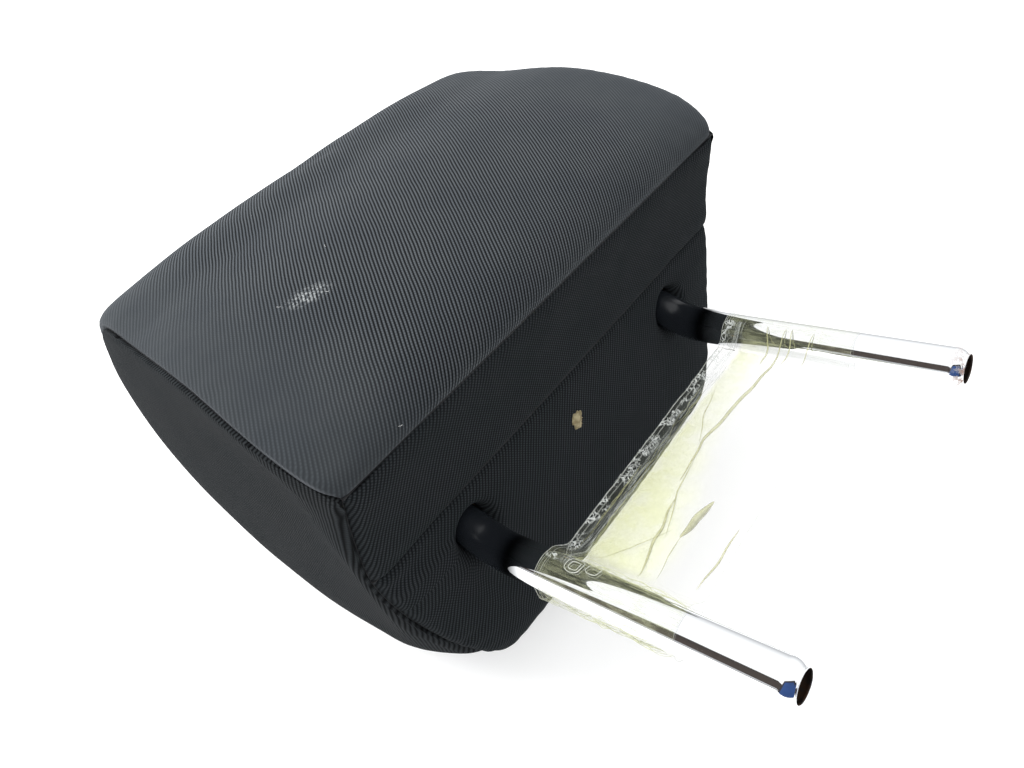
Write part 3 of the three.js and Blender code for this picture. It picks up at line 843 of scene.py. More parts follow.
        give_wall(piece, self.thickness)

    def front_strip(self) -> None:
        """The strip of the underside between the front seam and the closure seam."""
        closure = self.form.closure_share
        shares, across = np.meshgrid(
            closure * (0.5 + 0.5 * crowded(34, 0.6)), crowded(124, 0.62), indexing="ij")
        points = self.form.bottom_surface(shares, across)
        points = points + self._swelling("bottom", shares, across)
        down, over = distance_along(points, axis=0), distance_along(points, axis=1)
        seams = self._side_seams(shares, over, down, 0.06)
        seams.append(self._row_seam(self.form.front_corner, down, over, across[0],
                                    shoulder=0.5, pucker=0.05))
        seams.append(self._row_seam(self.form.closure_out, down[-1:] - down, over, across[0],
                                    shoulder=0.7, pucker=0.03))
        points, normals = self._dressed(points, seams, 71)
        pattern = np.stack([over - over[:, -1:] / 2.0, down], axis=-1)
        self._sheet("underside_front_strip", points, normals, pattern, "under_weave",
                    ("bottom_front_strip",))

    def _side_seams(self, shares: Array, over: Array, down: Array, pucker: float) -> list[Seam]:
        """The two seams between a piece of the underside and the side panels."""
        turn = 2.0 - shares
        depth = self._rim_depth(turn)
        return [
            Seam(over, down, self._rim_inward(turn, -1.0), depth,
                 shoulder=1.2, reach=7.0, pucker=pucker, width=2.2),
            Seam(over[:, -1:] - over, down, self._rim_inward(turn, 1.0), depth,
                 shoulder=1.2, reach=7.0, pucker=pucker, width=2.2),
        ]

    def bottom_panel(self, hole_places: tuple[tuple[float, float], ...]) -> None:
        """The underside behind the closure seam, with a round hole for each post."""
        closure = self.form.closure_share
        rows, columns = 96, 168
        shares, across = np.meshgrid(
            closure + (1.0 - closure) * (0.5 + 0.5 * crowded(rows, 0.35)), crowded(columns, 0.5),
            indexing="ij")
        left_out = np.zeros((rows, columns), dtype=bool)
        for place in hole_places:
            shares, across, inside = self._round_hole(shares, across, place)
            left_out |= inside
        points = self.form.bottom_surface(shares, across)
        points = points + self._swelling("bottom", shares, across)
        down, over = distance_along(points, axis=0), distance_along(points, axis=1)
        seams = self._side_seams(shares, over, down, 0.1)
        seams.append(self._row_seam(self.form.closure_out, down, over, across[0],
                                    shoulder=0.15, pucker=0.03))
        seams.append(self._row_seam(self.form.rear_corner, down[-1:] - down, over, across[0],
                                    shoulder=1.0, pucker=0.1))
        points, _ = self._dressed(points, seams, 83)
        for x, z in hole_places:
            away = np.hypot(points[..., 0] - x, (points[..., 2] - z) * math.cos(PostFrame.bend_angle))
            share = np.clip(1.0 - (away - self.hole_radius) / self.hole_rounding, 0.0, 1.2)
            sunk = self.hole_depth * share**3
            points[..., 1] += sunk
            points[..., 2] += sunk * math.tan(PostFrame.bend_angle)
        normals = grid_normals(points, points - self.form.centre)
        pattern = np.stack([over - over[:, -1:] / 2.0, down], axis=-1)
        self._sheet("underside_panel", points, normals, pattern, "under_weave",
                    ("bottom_panel",), left_out)

    def _round_hole(self, shares: Array, across: Array,
                    place: tuple[float, float]) -> tuple[Array, Array, Array]:
        """Moves the grid's points so that one square block of cells becomes a round hole.

        Square rings of points round the hole's nearest point are moved towards circles, fully
        at the hole's edge and not at all a few rings further out.

        Args:
            shares: The grid's rows as shares of the underside.
            across: The grid's columns.
            place: The hole's middle, across and to the front.

        Returns:
            The new shares and places across, and which points lie inside the hole.
        """
        first, last = 5, 13
        edge = look_up(self.form.bottom_line, shares)
        x, z = across * edge[..., 0], edge[..., 2]
        i, j = np.unravel_index(np.argmin(np.hypot(x - place[0], z - place[1])), x.shape)
        row, column = np.indices(x.shape)
        ring = np.maximum(np.abs(row - i), np.abs(column - j))
        angle = np.arctan2(row - i, column - j)
        radius = self.hole_radius + (ring - first) * 1.05
        stretch = 1.0 / math.cos(PostFrame.bend_angle)
        round_x = place[0] + radius * np.cos(angle)
        round_z = place[1] - radius * np.sin(angle) * stretch
        keep = smooth_step(ring.astype(float), first, last)
        x = np.where(ring <= last, keep * x + (1.0 - keep) * round_x, x)
        z = np.where(ring <= last, keep * z + (1.0 - keep) * round_z, z)
        table = np.linspace(0.0, 1.0, self.form.samples)
        depth = self.form.bottom_line[:, 2]
        shares = np.interp(-z, -depth, table)
        across = x / look_up(self.form.bottom_line, shares)[..., 0]
        return shares, across, ring < first

    def _sheet(self, name: str, points: Array, normals: Array, pattern: Array, finish: str,
               replaces: tuple[str, ...], left_out: Array | None = None) -> None:
        """Makes one panel of cloth from its grid, with its edges kept just short of the seams."""
        rows, columns = points.shape[:2]
        quads = grid_quads(rows, columns)
        if left_out is not None:
            quads = quads[~left_out.ravel()[quads].any(axis=1)]
        corners = points.reshape(-1, 3)[quads[len(quads) // 2]]
        turned = np.cross(corners[1] - corners[0], corners[3] - corners[0])
        if np.dot(turned, normals.reshape(-1, 3)[quads[len(quads) // 2][0]]) < 0:
            quads = quads[:, ::-1]
        mesh = build_mesh(name, self.lying.on_table(points.reshape(-1, 3)), [quads], pattern.reshape(-1, 2))
        piece = add_piece(mesh, self.finishes[finish], replaces)
        give_wall(piece, self.thickness)

    def seam_threads(self) -> None:
        """The dark sewn core that shows in each seam's groove."""
        below = 0.6 * self.thread_radius
        for name, side in (("left", 1.0), ("right", -1.0)):
            turn = np.linspace(0.0, 2.0, 420, endpoint=False)
            line = self.form.rim(turn) * np.array([side, 1.0, 1.0])
            line = line + (self._rim_depth(turn) + below)[:, None] * self._rim_inward(turn, side)
            self._thread(f"{name}_side_seam", line, closed=True)
        across = crowded(160, 0.4)
        rows = (("front_seam", 0.0, self.form.front_corner), ("rear_seam", 1.0, self.form.rear_corner),
                ("closure_seam", self.form.closure_share, self.form.closure_out))
        for name, share, outward in rows:
            line = self.form.bottom_surface(np.full_like(across, share), across)
            line = line + (self.row_depth + below) * self._row_inward(outward, across)
            self._thread(name, line, closed=False)

    def _thread(self, name: str, line: Array, closed: bool) -> None:
        """One seam's thread, swept along its line."""
        tube = Sweep.even(self.lying.on_table(line), self.thread_radius, 8, closed)
        add_piece(tube.mesh(name), self.finishes["thread"])

    def closure_stitches(self) -> None:
        """Short stitches beside the closure seam, each a small rounded bar lying on the strip."""
        half = self.form.half_width - 5.0
        count = int(2.0 * half / self.stitch_pitch)
        edge = look_up(self.form.bottom_line, np.array(self.form.closure_share - 0.012))
        across = np.linspace(-half, half, count) / edge[0]
        start = self.form.bottom_surface(np.full_like(across, self.form.closure_share - 0.012), across)
        length, radius = 0.55 * self.stitch_pitch, 0.28
        along = np.linspace(-0.5, 0.5, 5)
        bow = radius * (1.0 - (2.0 * along) ** 2)
        path = start[:, None, :] + np.stack(
            [along * length, 0.35 - bow, 0.12 * along * length], axis=-1)[None]
        tubes = [Sweep(self.lying.place(line), radius * MM * np.array([0.5, 0.9, 1.0, 0.9, 0.5]), 6)
                 for line in path]
        add_piece(Sweep.joined("closure_stitches", tubes), self.finishes["thread"])


@dataclass(frozen=True)
class Sweep:
    """A round section carried along a path, kept square to it and untwisted about an up direction.

    Args:
        path: The points of its middle line, in metres.
        radii: Its radius at each of them, in metres.
        sides: Points round the section.
        closed: Whether its end joins its start.
        up: The direction that its first side keeps to.
    """

    path: Array
    radii: Array
    sides: int
    closed: bool = False
    up: tuple[float, float, float] = (0.13, 0.21, 0.97)

    def rings(self) -> Array:
        """The section's points: path plus radius times (normal cos angle + side sin angle)."""
        if self.closed:
            step = np.roll(self.path, -1, axis=0) - np.roll(self.path, 1, axis=0)
        else:
            step = np.gradient(self.path, axis=0)
        tangent = unit(step)
        up = np.array(self.up)
        normal = unit(up - (tangent @ up)[:, None] * tangent)
        side = np.cross(tangent, normal)
        angle = np.linspace(0.0, 2.0 * math.pi, self.sides, endpoint=False)
        cosine, sine = np.cos(angle)[None, :, None], np.sin(angle)[None, :, None]
        round_it = normal[:, None] * cosine + side[:, None] * sine
        return self.path[:, None] + self.radii[:, None, None] * round_it

    def parts(self) -> tuple[Array, list[Array]]:
        """Its vertices and faces, with a fan of triangles over each open end."""
        rings = self.rings()
        count = len(self.path)
        vertices = rings.reshape(-1, 3)
        if self.closed:
            return vertices, [ring_quads(count, self.sides)]
        quads = grid_quads(count, self.sides, closed=True)
        vertices = np.vstack([vertices, self.path[0], self.path[-1]])
        start = fan(np.arange(self.sides), count * self.sides)[:, ::-1]
        end = fan((count - 1) * self.sides + np.arange(self.sides), count * self.sides + 1)
        return vertices, [quads, start, end]

    def mesh(self, name: str) -> bpy.types.Mesh:
        """Its mesh."""
        vertices, faces = self.parts()
        return build_mesh(name, vertices, faces)

    @classmethod
    def even(cls, path: Array, radius: float, sides: int = 6, closed: bool = False) -> "Sweep":
        """A sweep with one radius all along, which is given in millimetres."""
        return cls(path, np.full(len(path), radius * MM), sides, closed)

    @staticmethod
    def joined(name: str, sweeps: list["Sweep"]) -> bpy.types.Mesh:
        """One mesh that holds several sweeps."""
        vertices, faces, first = [], [], 0
        for sweep in sweeps:
            points, groups = sweep.parts()
            vertices.append(points)
            faces.extend(group + first for group in groups)
            first += len(points)
        return build_mesh(name, np.vstack(vertices), faces)


@dataclass
class PostFrame:
    """The bent chrome tube: two posts with narrowed open tips, joined by a crossbar in the foam.

    Args:
        lying: How it lies.
        finishes: Materials by name.
    """

    lying: Lying
    finishes: dict[str, bpy.types.Material]
    diameter: float = 14.0
    wall: float = 1.5
    spacing: float = 129.0
    reach: float = 114.0
    bend_depth: float = 9.0
    bend_radius: float = 34.0
    upper_bend: float = 48.0
    crossbar: float = 92.0
    crossbar_radius: float = 26.0
    mouth_diameter: float = 10.8
    mouth_wall: float = 0.5
    shoulder: float = 4.4
    lip: float = 0.1
    sides: int = 56
    # How far from the cover the painted shade on the plating reaches, in millimetres.
    shade_reach: float = 30.0
    ring_wall: float = 1.8
    ring_length: float = 8.0
    ring_proud: float = 1.0
    ring_gap: float = 0.3
    ring_behind: float = 6.4
    hole_height: float = 1.5
    bend_angle = math.radians(25.0)

    @property
    def hole_front(self) -> float:
        """How far to the front the post's middle is where it goes through the cover."""
        return (self.hole_height + self.bend_depth) * math.tan(self.bend_angle)

    @property
    def hole_places(self) -> tuple[tuple[float, float], ...]:
        """Where each post leaves the underside: across and to the front."""
        return tuple((side * self.spacing / 2.0, self.hole_front) for side in (-1.0, 1.0))

    @property
    def ring_middle(self) -> Array:
        """The middle of the left hole ring, in the headrest's own frame."""
        along = self.ring_length / 2.0 - self.ring_proud - self.hole_height
        return np.array([
            self.spacing / 2.0,
            self.hole_height + along * math.cos(self.bend_angle),
            self.hole_front + along * math.sin(self.bend_angle),
        ])

    def build(self) -> None:
        """Makes the tube, its dark bore and the two hole rings."""
        route, radii = self._route()
        self._tube(route, radii)
        for name, side in (("left", 1.0), ("right", -1.0)):
            self._hole_ring(name, side)

    def _route(self) -> tuple[Array, Array]:
        """The middle line from tip to tip with round bends, and the outer radius along it.

        Behind a short straight lip the radius grows by an arc over the shoulder.
        """
        half = self.spacing / 2.0
        rise = (self.upper_bend + self.bend_depth) * math.tan(self.bend_angle)
        corners = np.array([
            (-half, -self.reach + self.shoulder, 0.0), (-half, -self.bend_depth, 0.0),
            (-half, self.upper_bend, rise), (-half, self.crossbar, rise)])
        mirrored = (corners * np.array([-1.0, 1.0, 1.0]))[::-1]
        corners = np.vstack([corners, mirrored])
        bends = [self.bend_radius, self.bend_radius, self.crossbar_radius]
        # Extra points on the straight part, so that the painted shade next to the cover fades smoothly over
        # its reach.
        stops = np.linspace(-self.shade_reach, -self.bend_depth - 8.0, 6)
        shade_fade = np.array([(-half, stop, 0.0) for stop in stops])
        route = [corners[:1], shade_fade]
        for corner, radius in zip(range(1, len(corners) - 1), bends + bends[::-1]):
            route.append(self._bend(*corners[corner - 1:corner + 2], radius))
        route += [(shade_fade * np.array([-1.0, 1.0, 1.0]))[::-1], corners[-1:]]
        middle = np.vstack(route)
        share = np.append(np.linspace(0.0, self.lip, 4)[:-1], np.linspace(self.lip, 1.0, 20)[:-1])
        narrow = (self.diameter - self.mouth_diameter) / 2.0
        length = self.shoulder * (1.0 - self.lip)
        round_radius = (length**2 + narrow**2) / (2.0 * narrow)
        rest = np.minimum(self.shoulder * (1.0 - share), length)
        tip_radius = self.diameter / 2.0 - round_radius + np.sqrt(round_radius**2 - rest**2)
        start = np.stack([np.full_like(share, -half), share * self.shoulder - self.reach,
                          np.zeros_like(share)], axis=-1)
        end = (start * np.array([-1.0, 1.0, 1.0]))[::-1]
        radii = np.concatenate([tip_radius, np.full(len(middle), self.diameter / 2.0), tip_radius[::-1]])
        return np.vstack([start, middle, end]), radii

    @staticmethod
    def _bend(before: Array, corner: Array, after: Array, radius: float) -> Array:
        """An arc of a radius that rounds one corner of the route, in about 2 degree steps."""
        back, ahead = unit(before - corner), unit(after - corner)
        half = math.acos(float(np.clip(back @ ahead, -1.0, 1.0))) / 2.0
        centre = corner + unit(back + ahead) * radius / math.sin(half)
        start = corner + back * radius / math.tan(half) - centre
        end = corner + ahead * radius / math.tan(half) - centre
        sweep = math.pi - 2.0 * half
        share = np.linspace(0.0, 1.0, 2 + int(math.degrees(sweep) / 2.0))[:, None]
        arms = np.sin((1.0 - share) * sweep) * start + np.sin(share * sweep) * end
        return centre + arms / math.sin(sweep)

    def _tube(self, route: Array, radii: Array) -> None:
        """The tube as one closed wall: its outside, a rounded lip at each tip, and its bore.

        The grid's rows go along the outside from tip to tip and back along the bore, and the
        lip between the two is a half circle as thick as the wall.
        """
        path = self.lying.place(route)
        lip = self.mouth_wall / 2.0
        turn = np.linspace(0.0, math.pi, 9)[1:-1]
        outer = Sweep(path, radii * MM, self.sides).rings()
        walked = distance_along(route)
        deep = smooth_step(np.minimum(walked, walked[-1] - walked), 0.0, self.shoulder)
        wall = self.mouth_wall + (self.wall - self.mouth_wall) * deep
        inner = Sweep(path, (radii - wall) * MM, self.sides).rings()
        start_out, end_out = unit(path[0] - path[1]), unit(path[-1] - path[-2])
        middle_start, middle_end = (outer[0] + inner[0]) / 2.0, (outer[-1] + inner[-1]) / 2.0
        spread_start, spread_end = (outer[0] - inner[0]) / 2.0, (outer[-1] - inner[-1]) / 2.0
        cosine, sine = np.cos(turn)[:, None, None], np.sin(turn)[:, None, None]
        start_lip = middle_start - cosine * spread_start + sine * lip * MM * start_out * 0.6
        end_lip = middle_end + cosine * spread_end + sine * lip * MM * end_out * 0.6
        rows = np.concatenate([start_lip, outer, end_lip, inner[::-1]])
        count = len(rows)
        quads = ring_quads(count, self.sides)
        mesh = build_mesh("post_tube", rows.reshape(-1, 3), [quads])
        piece = add_piece(mesh, self.finishes["chrome"], ("post_frame",))
        mesh.materials.append(self.finishes["bore"])
        # Painted shade: a value for each vertex that darkens the plating next to the cover.
        from_end = np.minimum(walked, walked[-1] - walked)
        shade = smooth_step(from_end, self.reach - self.shade_reach, self.reach - 7.0)
        shade = np.concatenate([np.zeros(len(start_lip)), shade, np.zeros(len(end_lip)), shade[::-1]])
        keep_values(mesh, "near_cover", np.repeat(shade, self.sides))
        in_bore = np.repeat(np.arange(count) >= len(start_lip) + len(outer) + len(end_lip) - 3, self.sides)
        mesh.polygons.foreach_set("material_index", in_bore[quads[:, 0]].astype(np.int32))
        piece.data.update()

    def _hole_ring(self, name: str, side: float) -> None:
        """A hole ring: a rounded section turned round the post's own line."""
        inner = self.diameter / 2.0 + self.ring_gap
        angle = np.linspace(0.0, 2.0 * math.pi, 24, endpoint=False)
        out, up = (np.sign(wave) * np.abs(wave) ** 0.35 for wave in (np.cos(angle), np.sin(angle)))
        radius = inner + (1.0 + out) * self.ring_wall / 2.0
        height = self.ring_behind + (1.0 + up) * self.ring_length / 2.0
        around = np.linspace(0.0, 2.0 * math.pi, 64, endpoint=False)[:, None]
        across, front = radius * np.cos(around), radius * np.sin(around)
        along = np.broadcast_to(height, across.shape)
        cosine, sine = math.cos(self.bend_angle), math.sin(self.bend_angle)
        points = np.stack([
            side * self.spacing / 2.0 + across,
            self.hole_height + along * cosine - front * sine,
            self.hole_front + along * sine + front * cosine,
        ], axis=-1)
        placed = self.lying.place(points.reshape(-1, 3))
        mesh = build_mesh(f"{name}_hole_ring", placed, [ring_quads(*points.shape[:2])])
        add_piece(mesh, self.finishes["core_plastic"], (f"{name}_post_ring",))


class Fold(Enum):
    """Pinched folds of the film: places across and up the headrest, and the half width."""

    LONG = (((62.0, -53.2), (46.0, -53.2), (28.0, -51.0), (4.0, -48.4), (-15.0, -50.2)), 0.5)
    LONG_END = (((-4.0, -49.6), (-20.0, -52.0), (-38.0, -58.0)), 0.2)
    LEAF = (((-19.0, -65.0), (-27.0, -63.2), (-36.0, -62.2)), 1.1)
    LEAF_LINE = (((-33.0, -62.2), (-44.0, -62.4), (-53.0, -63.6)), 0.12)
    PALE = (((-22.0, -52.6), (-38.0, -55.0), (-55.0, -58.5)), 0.42)
    ARC = (((-34.0, -58.5), (-46.0, -50.0), (-55.0, -41.5)), 0.11)
    OUTER = (((-26.0, -77.3), (-38.0, -77.0), (-51.0, -76.1)), 0.3)
    FAR_ONE = (((62.0, -46.0), (55.0, -48.5), (47.0, -49.0)), 0.28)
    FAR_TWO = (((62.5, -56.0), (56.0, -56.6), (49.0, -56.0)), 0.24)
    FAR_THREE = (((62.0, -64.0), (56.0, -63.0), (50.0, -63.4)), 0.18)
    SLANT = (((30.0, -39.5), (14.0, -43.0), (2.0, -48.0)), 0.16)


@dataclass
class Tape:
    """Clear packing tape wound round both posts and stuck to itself between them.

    Args:
        posts: The posts that it holds.
        finishes: Materials by name.
    """

    posts: PostFrame
    finishes: dict[str, bpy.types.Material]
    width: float = 50.0
    start_middle: float = -29.4
    start_skew: float = 0.8
    clearance: float = 0.4
    web_gap: float = 0.35
    neck: float = 9.0
    opening: float = math.radians(62.0)
    slack: float = 3.4
    film: float = 0.12
    fold_width: float = 8.6
    strands: int = 46
    upper_side: tuple[float, float] = (38.0, 62.0)
    lower_side: tuple[float, float] = (165.0, 235.0)

    def build(self) -> None:
        """Makes the wound film, the folded band along its edge, the folds and the torn strands."""
        self._film()
        self._folded_band()
        self._folds()
        self._strands()

    @property
    def _half(self) -> float:
        """Half the distance between the posts."""
        return self.posts.spacing / 2.0

    @property
    def _radius(self) -> float:
        """Radius of the film where it goes round a post."""
        return self.posts.diameter / 2.0 + self.clearance

    def _start(self, x: Array) -> Array:
        """Where the tape's edge nearest the head lies, which is a little askew."""
        return self.start_middle + self.start_skew * x / self._half

    def _rise(self, x: Array) -> tuple[Array, Array]:
        """Height of the film's upper side between the posts, and its share from web to post."""
        leave = self._half - self._radius * math.cos(self.opening)
        share = smooth_step(np.abs(x), leave - self.neck, leave)
        low, high = self.web_gap / 2.0, self._radius * math.sin(self.opening)
        return low + share * (high - low), share

    def _section(self, count: int) -> tuple[Array, Array, Array]:
        """The tape's path round both posts, seen along them.

        The web runs near the middle plane and opens over the neck on to each post by a smooth
        step. Round a post the path is an arc of the film's radius.

        Args:
            count: Points round the path.

        Returns:
            Places across and to the front, and how far each is from the web, from 0 to 1.
        """
        leave = self._half - self._radius * math.cos(self.opening)
        x = np.linspace(-leave, leave, 900)
        upper, rise = self._rise(x)
        angle = np.linspace(math.pi - self.opening, self.opening - math.pi, 400)[1:-1]
        arc = self._half + self._radius * np.cos(angle), self._radius * np.sin(angle)
        across = np.concatenate([x, arc[0], x[::-1], -arc[0]])
        front = np.concatenate([upper, arc[1], -upper, -arc[1]])
        held = np.concatenate([rise, np.ones_like(angle), rise, np.ones_like(angle)])
        line = np.stack([across, front, held], axis=-1)
        walked = distance_along(line[:, :2])
        even = np.linspace(0.0, walked[-1], count, endpoint=False)
        return tuple(np.interp(even, walked, column) for column in line.T)

    def _film(self) -> None:
        """The film with slight wrinkles, slack under the near post and thin light lines along its edges,
        which are painted highlights.

        Its haze is a bell over the web beside the folded band, which fades towards the tips,
        and is even round the posts.
        """
        across, front, held = self._section(400)
        along = np.linspace(0.0, 1.0, 56)[:, None]
        up = self._start(across) + 0.08 * Ripple(16.0, 2).along(across) - along * self.width
        flat = np.stack(np.broadcast_arrays(across, up), axis=-1)
        web = (1.0 - held) * (0.05 * Ripple(9.0, 3).over(flat) + 0.16 * Ripple(30.0, 4).over(flat))
        out_x, out_z = (across - np.sign(across) * self._half) * held, front * held
        size = np.maximum(np.hypot(out_x, out_z), 1e-6)
        sagging = smooth_step(-out_z, 1.0, 8.0) * smooth_step(-across, self._half - 4.0, self._half + 8.0)
        hanging = self.slack * sagging * (1.0 - 0.6 * along)
        loose = held * (0.12 * np.abs(Ripple(7.0, 6).over(flat)) + hanging)
        points = np.stack(np.broadcast_arrays(
            across + out_x / size * loose, up, front + out_z / size * loose + web), axis=-1)
        fade = self.start_middle - 26.0 - 14.0 * smooth_step(-across, -20.0, 45.0)
        beside = smooth_step(up, fade, fade + 24.0) * (1.0 - smooth_step(up, -39.5, -36.5))
        haze = (1.0 - held) * beside + held * (0.08 + 0.5 * sagging * (1.0 - along))
        quads = grid_quads(*haze.shape, closed=True)
        placed = self.posts.lying.place(points.reshape(-1, 3))
        mesh = build_mesh("wound_film", placed, [quads], flat.reshape(-1, 2))
        keep_values(mesh, "haze", haze)
        keep_values(mesh, "held", np.broadcast_to(held, haze.shape))
        piece = add_piece(mesh, self.finishes["film"], ("packing_tape",))
        give_wall(piece, self.film)
        # Painted highlights: thin light lines along the film's edges.
        edges = [Sweep.even(self.posts.lying.place(points[row]), radius, 5, True)
                 for row, radius in ((0, 0.1), (2, 0.06), (-1, 0.04))]
        add_piece(Sweep.joined("film_edges", edges), self.finishes["film_highlight_line"])

    def _folded_band(self) -> None:
        """The edge nearest the head, folded over itself: a flat, slightly crumpled closed flap."""
        x = np.linspace(-self._half + 1.0, self._half - 3.0, 300)
        turn = np.linspace(0.0, 2.0 * math.pi, 36, endpoint=False)[:, None]
        width = self.fold_width * (0.97 + 0.05 * Ripple(30.0, 17).along(x))
        share = 0.5 - 0.5 * np.cos(turn)
        up = self._start(x) - 0.2 - share * width
        flat = np.stack(np.broadcast_arrays(x, up), axis=-1)
        crumple = 0.07 * Ripple(3.0, 19).over(flat) + 0.12 * Ripple(11.0, 23).over(flat)
        z = self._rise(x)[0] + 0.62 + crumple + 0.22 * np.sin(turn)
        points = np.stack(np.broadcast_arrays(x, up, z), axis=-1)
        rows, columns = points.shape[:2]
        vertices = np.vstack([points.reshape(-1, 3), points[:, 0].mean(0), points[:, -1].mean(0)])
        pattern = np.vstack([flat.reshape(-1, 2), flat[:, 0].mean(0), flat[:, -1].mean(0)])
        quads = grid_quads(rows + 1, columns) % (rows * columns)
        first = fan(np.arange(rows) * columns, rows * columns)
        last = fan(np.arange(rows) * columns + columns - 1, rows * columns + 1)[:, ::-1]
        mesh = build_mesh("folded_band", self.posts.lying.place(vertices), [quads, first, last], pattern)
        outer = np.broadcast_to(1.0 - smooth_step(share, 0.45, 0.65), points.shape[:2]).ravel()
        keep_values(mesh, "haze", np.append(outer, [0.5, 0.5]))
        add_piece(mesh, self.finishes["folded_film"])

    def _folds(self) -> None:
        """Pinched folds and long streaks: thin tapered ridges that lie on the film's upper side."""
        share = np.linspace(0.0, 1.0, 60)
        sweeps = []
        for number, fold in enumerate(Fold):
            places, radius = fold.value
            line = np.array(places)
            walked = distance_along(line)
            x, y = (np.interp(share * walked[-1], walked, column) for column in line.T)
            y = y + 0.16 * Ripple(16.0, 90 + number).along(share * walked[-1])
            sweeps.append(self._ridge(x, y, radius * (0.15 + np.sin(math.pi * share) ** 0.8)))
        draw = np.random.default_rng(77)
        for number in range(16):
            start = draw.uniform(-self._half + 6.0, self._half - 40.0)
            x = start + share * draw.uniform(14.0, 34.0)
            y = self._start(x) - draw.uniform(4.6, 8.6) + 0.2 * Ripple(9.0, 120 + number).along(x)
            sweeps.append(self._ridge(x, y, np.sin(math.pi * share) * draw.uniform(0.05, 0.1), 0.95))
        add_piece(Sweep.joined("film_folds", sweeps), self.finishes["fold_line"])
        # Painted highlights: light loops on the film over the near post, standing for glints.
        turn = np.linspace(0.0, 2.0 * math.pi, 40, endpoint=False)
        rings = ((-62.8, -41.8, 2.9, 3.1), (-63.0, -42.0, 1.7, 1.9), (-61.6, -48.2, 2.1, 2.5))
        glints = []
        for x, y, wide, tall in rings:
            across = x + wide * np.cos(turn)
            up = y + tall * np.sin(turn) + 0.3 * np.sin(3.0 * turn)
            lift = np.sqrt(np.maximum((self._radius + 0.2) ** 2 - (self._half + across) ** 2, 1.0))
            path = np.column_stack([across, up, lift])
            glints.append(Sweep.even(self.posts.lying.place(path), 0.15, closed=True))
        add_piece(Sweep.joined("film_glints", glints), self.finishes["film_highlight_line"])

    def _ridge(self, x: Array, y: Array, radii: Array, lift: float = 0.25) -> Sweep:
        """One ridge along a line on the film."""
        line = np.stack([x, y, self._rise(x)[0] + lift], axis=-1)
        return Sweep(self.posts.lying.place(line), np.maximum(radii, 0.03) * MM, 6)

    def _strands(self) -> None:
        """Torn strands of film: short curls along both sides of the near post's tape."""
        draw = np.random.default_rng(41)
        t = np.linspace(0.0, 1.0, 12)
        sweeps = []
        for number in range(self.strands):
            angle = math.radians(draw.uniform(*(self.upper_side if number % 3 == 0 else self.lower_side)))
            radius = self._radius + 0.25
            x, z = -self._half + radius * math.cos(angle), radius * math.sin(angle)
            start = np.array([x, draw.uniform(-80.0, -40.0), z])
            out = np.array([math.cos(angle), 0.0, math.sin(angle)])
            around = np.array([-math.sin(angle), 0.0, math.cos(angle)])
            length, bow, drift = draw.uniform(5.0, 13.0), draw.uniform(0.1, 1.1), draw.uniform(-1.6, 1.6)
            line = (start + np.array([0.0, draw.choice([-1.0, 1.0]), 0.0]) * (t * length)[:, None]
                    + out * (bow * np.sin(t * math.pi))[:, None] + around * (drift * t**2)[:, None])
            sweeps.append(Sweep.even(self.posts.lying.place(line), draw.uniform(0.04, 0.09), 5))
        add_piece(Sweep.joined("torn_strands", sweeps), self.finishes["strand"])


@dataclass
class Dirt:
    """What has stuck to the cover: one dried chip and a few pale fibres.

    Args:
        cover: What it has stuck to.
    """

    cover: Cover
    chip_place: tuple[float, float, float] = (-5.8, -1.2, 4.6)
    chip_size: tuple[float, float, float] = (3.3, 1.4, 4.0)
    lint_places: tuple[tuple[float, float, float], ...] = (
        (-42.0, 44.0, 100.8), (-75.5, -10.5, 69.0), (-57.0, 27.0, 100.5), (-68.0, 36.0, 100.5))

    def build(self) -> None:
        """Makes the chip and the fibres."""
        self._chip()
        self._lint()

    def _chip(self) -> None:
        """A dented ellipsoid: a sphere's grid times its size, with waves on its radius."""
        polar, around = np.meshgrid(np.linspace(0.0, math.pi, 26)[1:-1],
                                    np.linspace(0.0, 2.0 * math.pi, 40, endpoint=False), indexing="ij")
        ball = np.stack([np.sin(polar) * np.cos(around), np.cos(polar),
                         np.sin(polar) * np.sin(around)], axis=-1)
        rough = 1.0 + 0.1 * Ripple(0.9, 53).over(ball) + 0.05 * Ripple(0.3, 59).over(ball)
        points = ball * rough[..., None] * np.array(self.chip_size)
        lean = math.radians(20.0)
        x, z = points[..., 0].copy(), points[..., 2].copy()
        points[..., 0] = x * math.cos(lean) + z * math.sin(lean)
        points[..., 2] = z * math.cos(lean) - x * math.sin(lean)
        points += np.array(self.chip_place)
        rows, columns = points.shape[:2]
        vertices = np.vstack([points.reshape(-1, 3), points[0].mean(0), points[-1].mean(0)])
        quads = grid_quads(rows, columns, closed=True)
        first = fan(np.arange(columns), rows * columns)[:, ::-1]
        last = fan((rows - 1) * columns + np.arange(columns), rows * columns + 1)
        mesh = build_mesh("dried_chip", self.cover.lying.place(vertices), [quads, first, last])
        add_piece(mesh, self.cover.finishes["chip"])

    def _lint(self) -> None:
        """Short curled fibres that lie on the front, each at the cover's point nearest its place."""
        draw = np.random.default_rng(61)
        t = np.linspace(0.0, 1.0, 9)[:, None]
        sweeps = []
        for place in self.lint_places:
            heading = draw.uniform(0.0, math.pi)
            nearest = np.argmin(np.linalg.norm(self.cover.front - np.array(place), axis=1))
            normal = self.cover.front_normals[nearest]
            along = np.array([math.cos(heading), math.sin(heading), 0.0])
            along = unit(along - (along @ normal) * normal)
            start = self.cover.front[nearest] + 0.1 * normal
            line = start + along * t * 1.3 + np.cross(normal, along) * np.sin(t * 4.0) * 0.15
            sweeps.append(Sweep.even(self.cover.lying.place(line), 0.06))
        add_piece(Sweep.joined("lint_fibres", sweeps), self.cover.finishes["lint"])


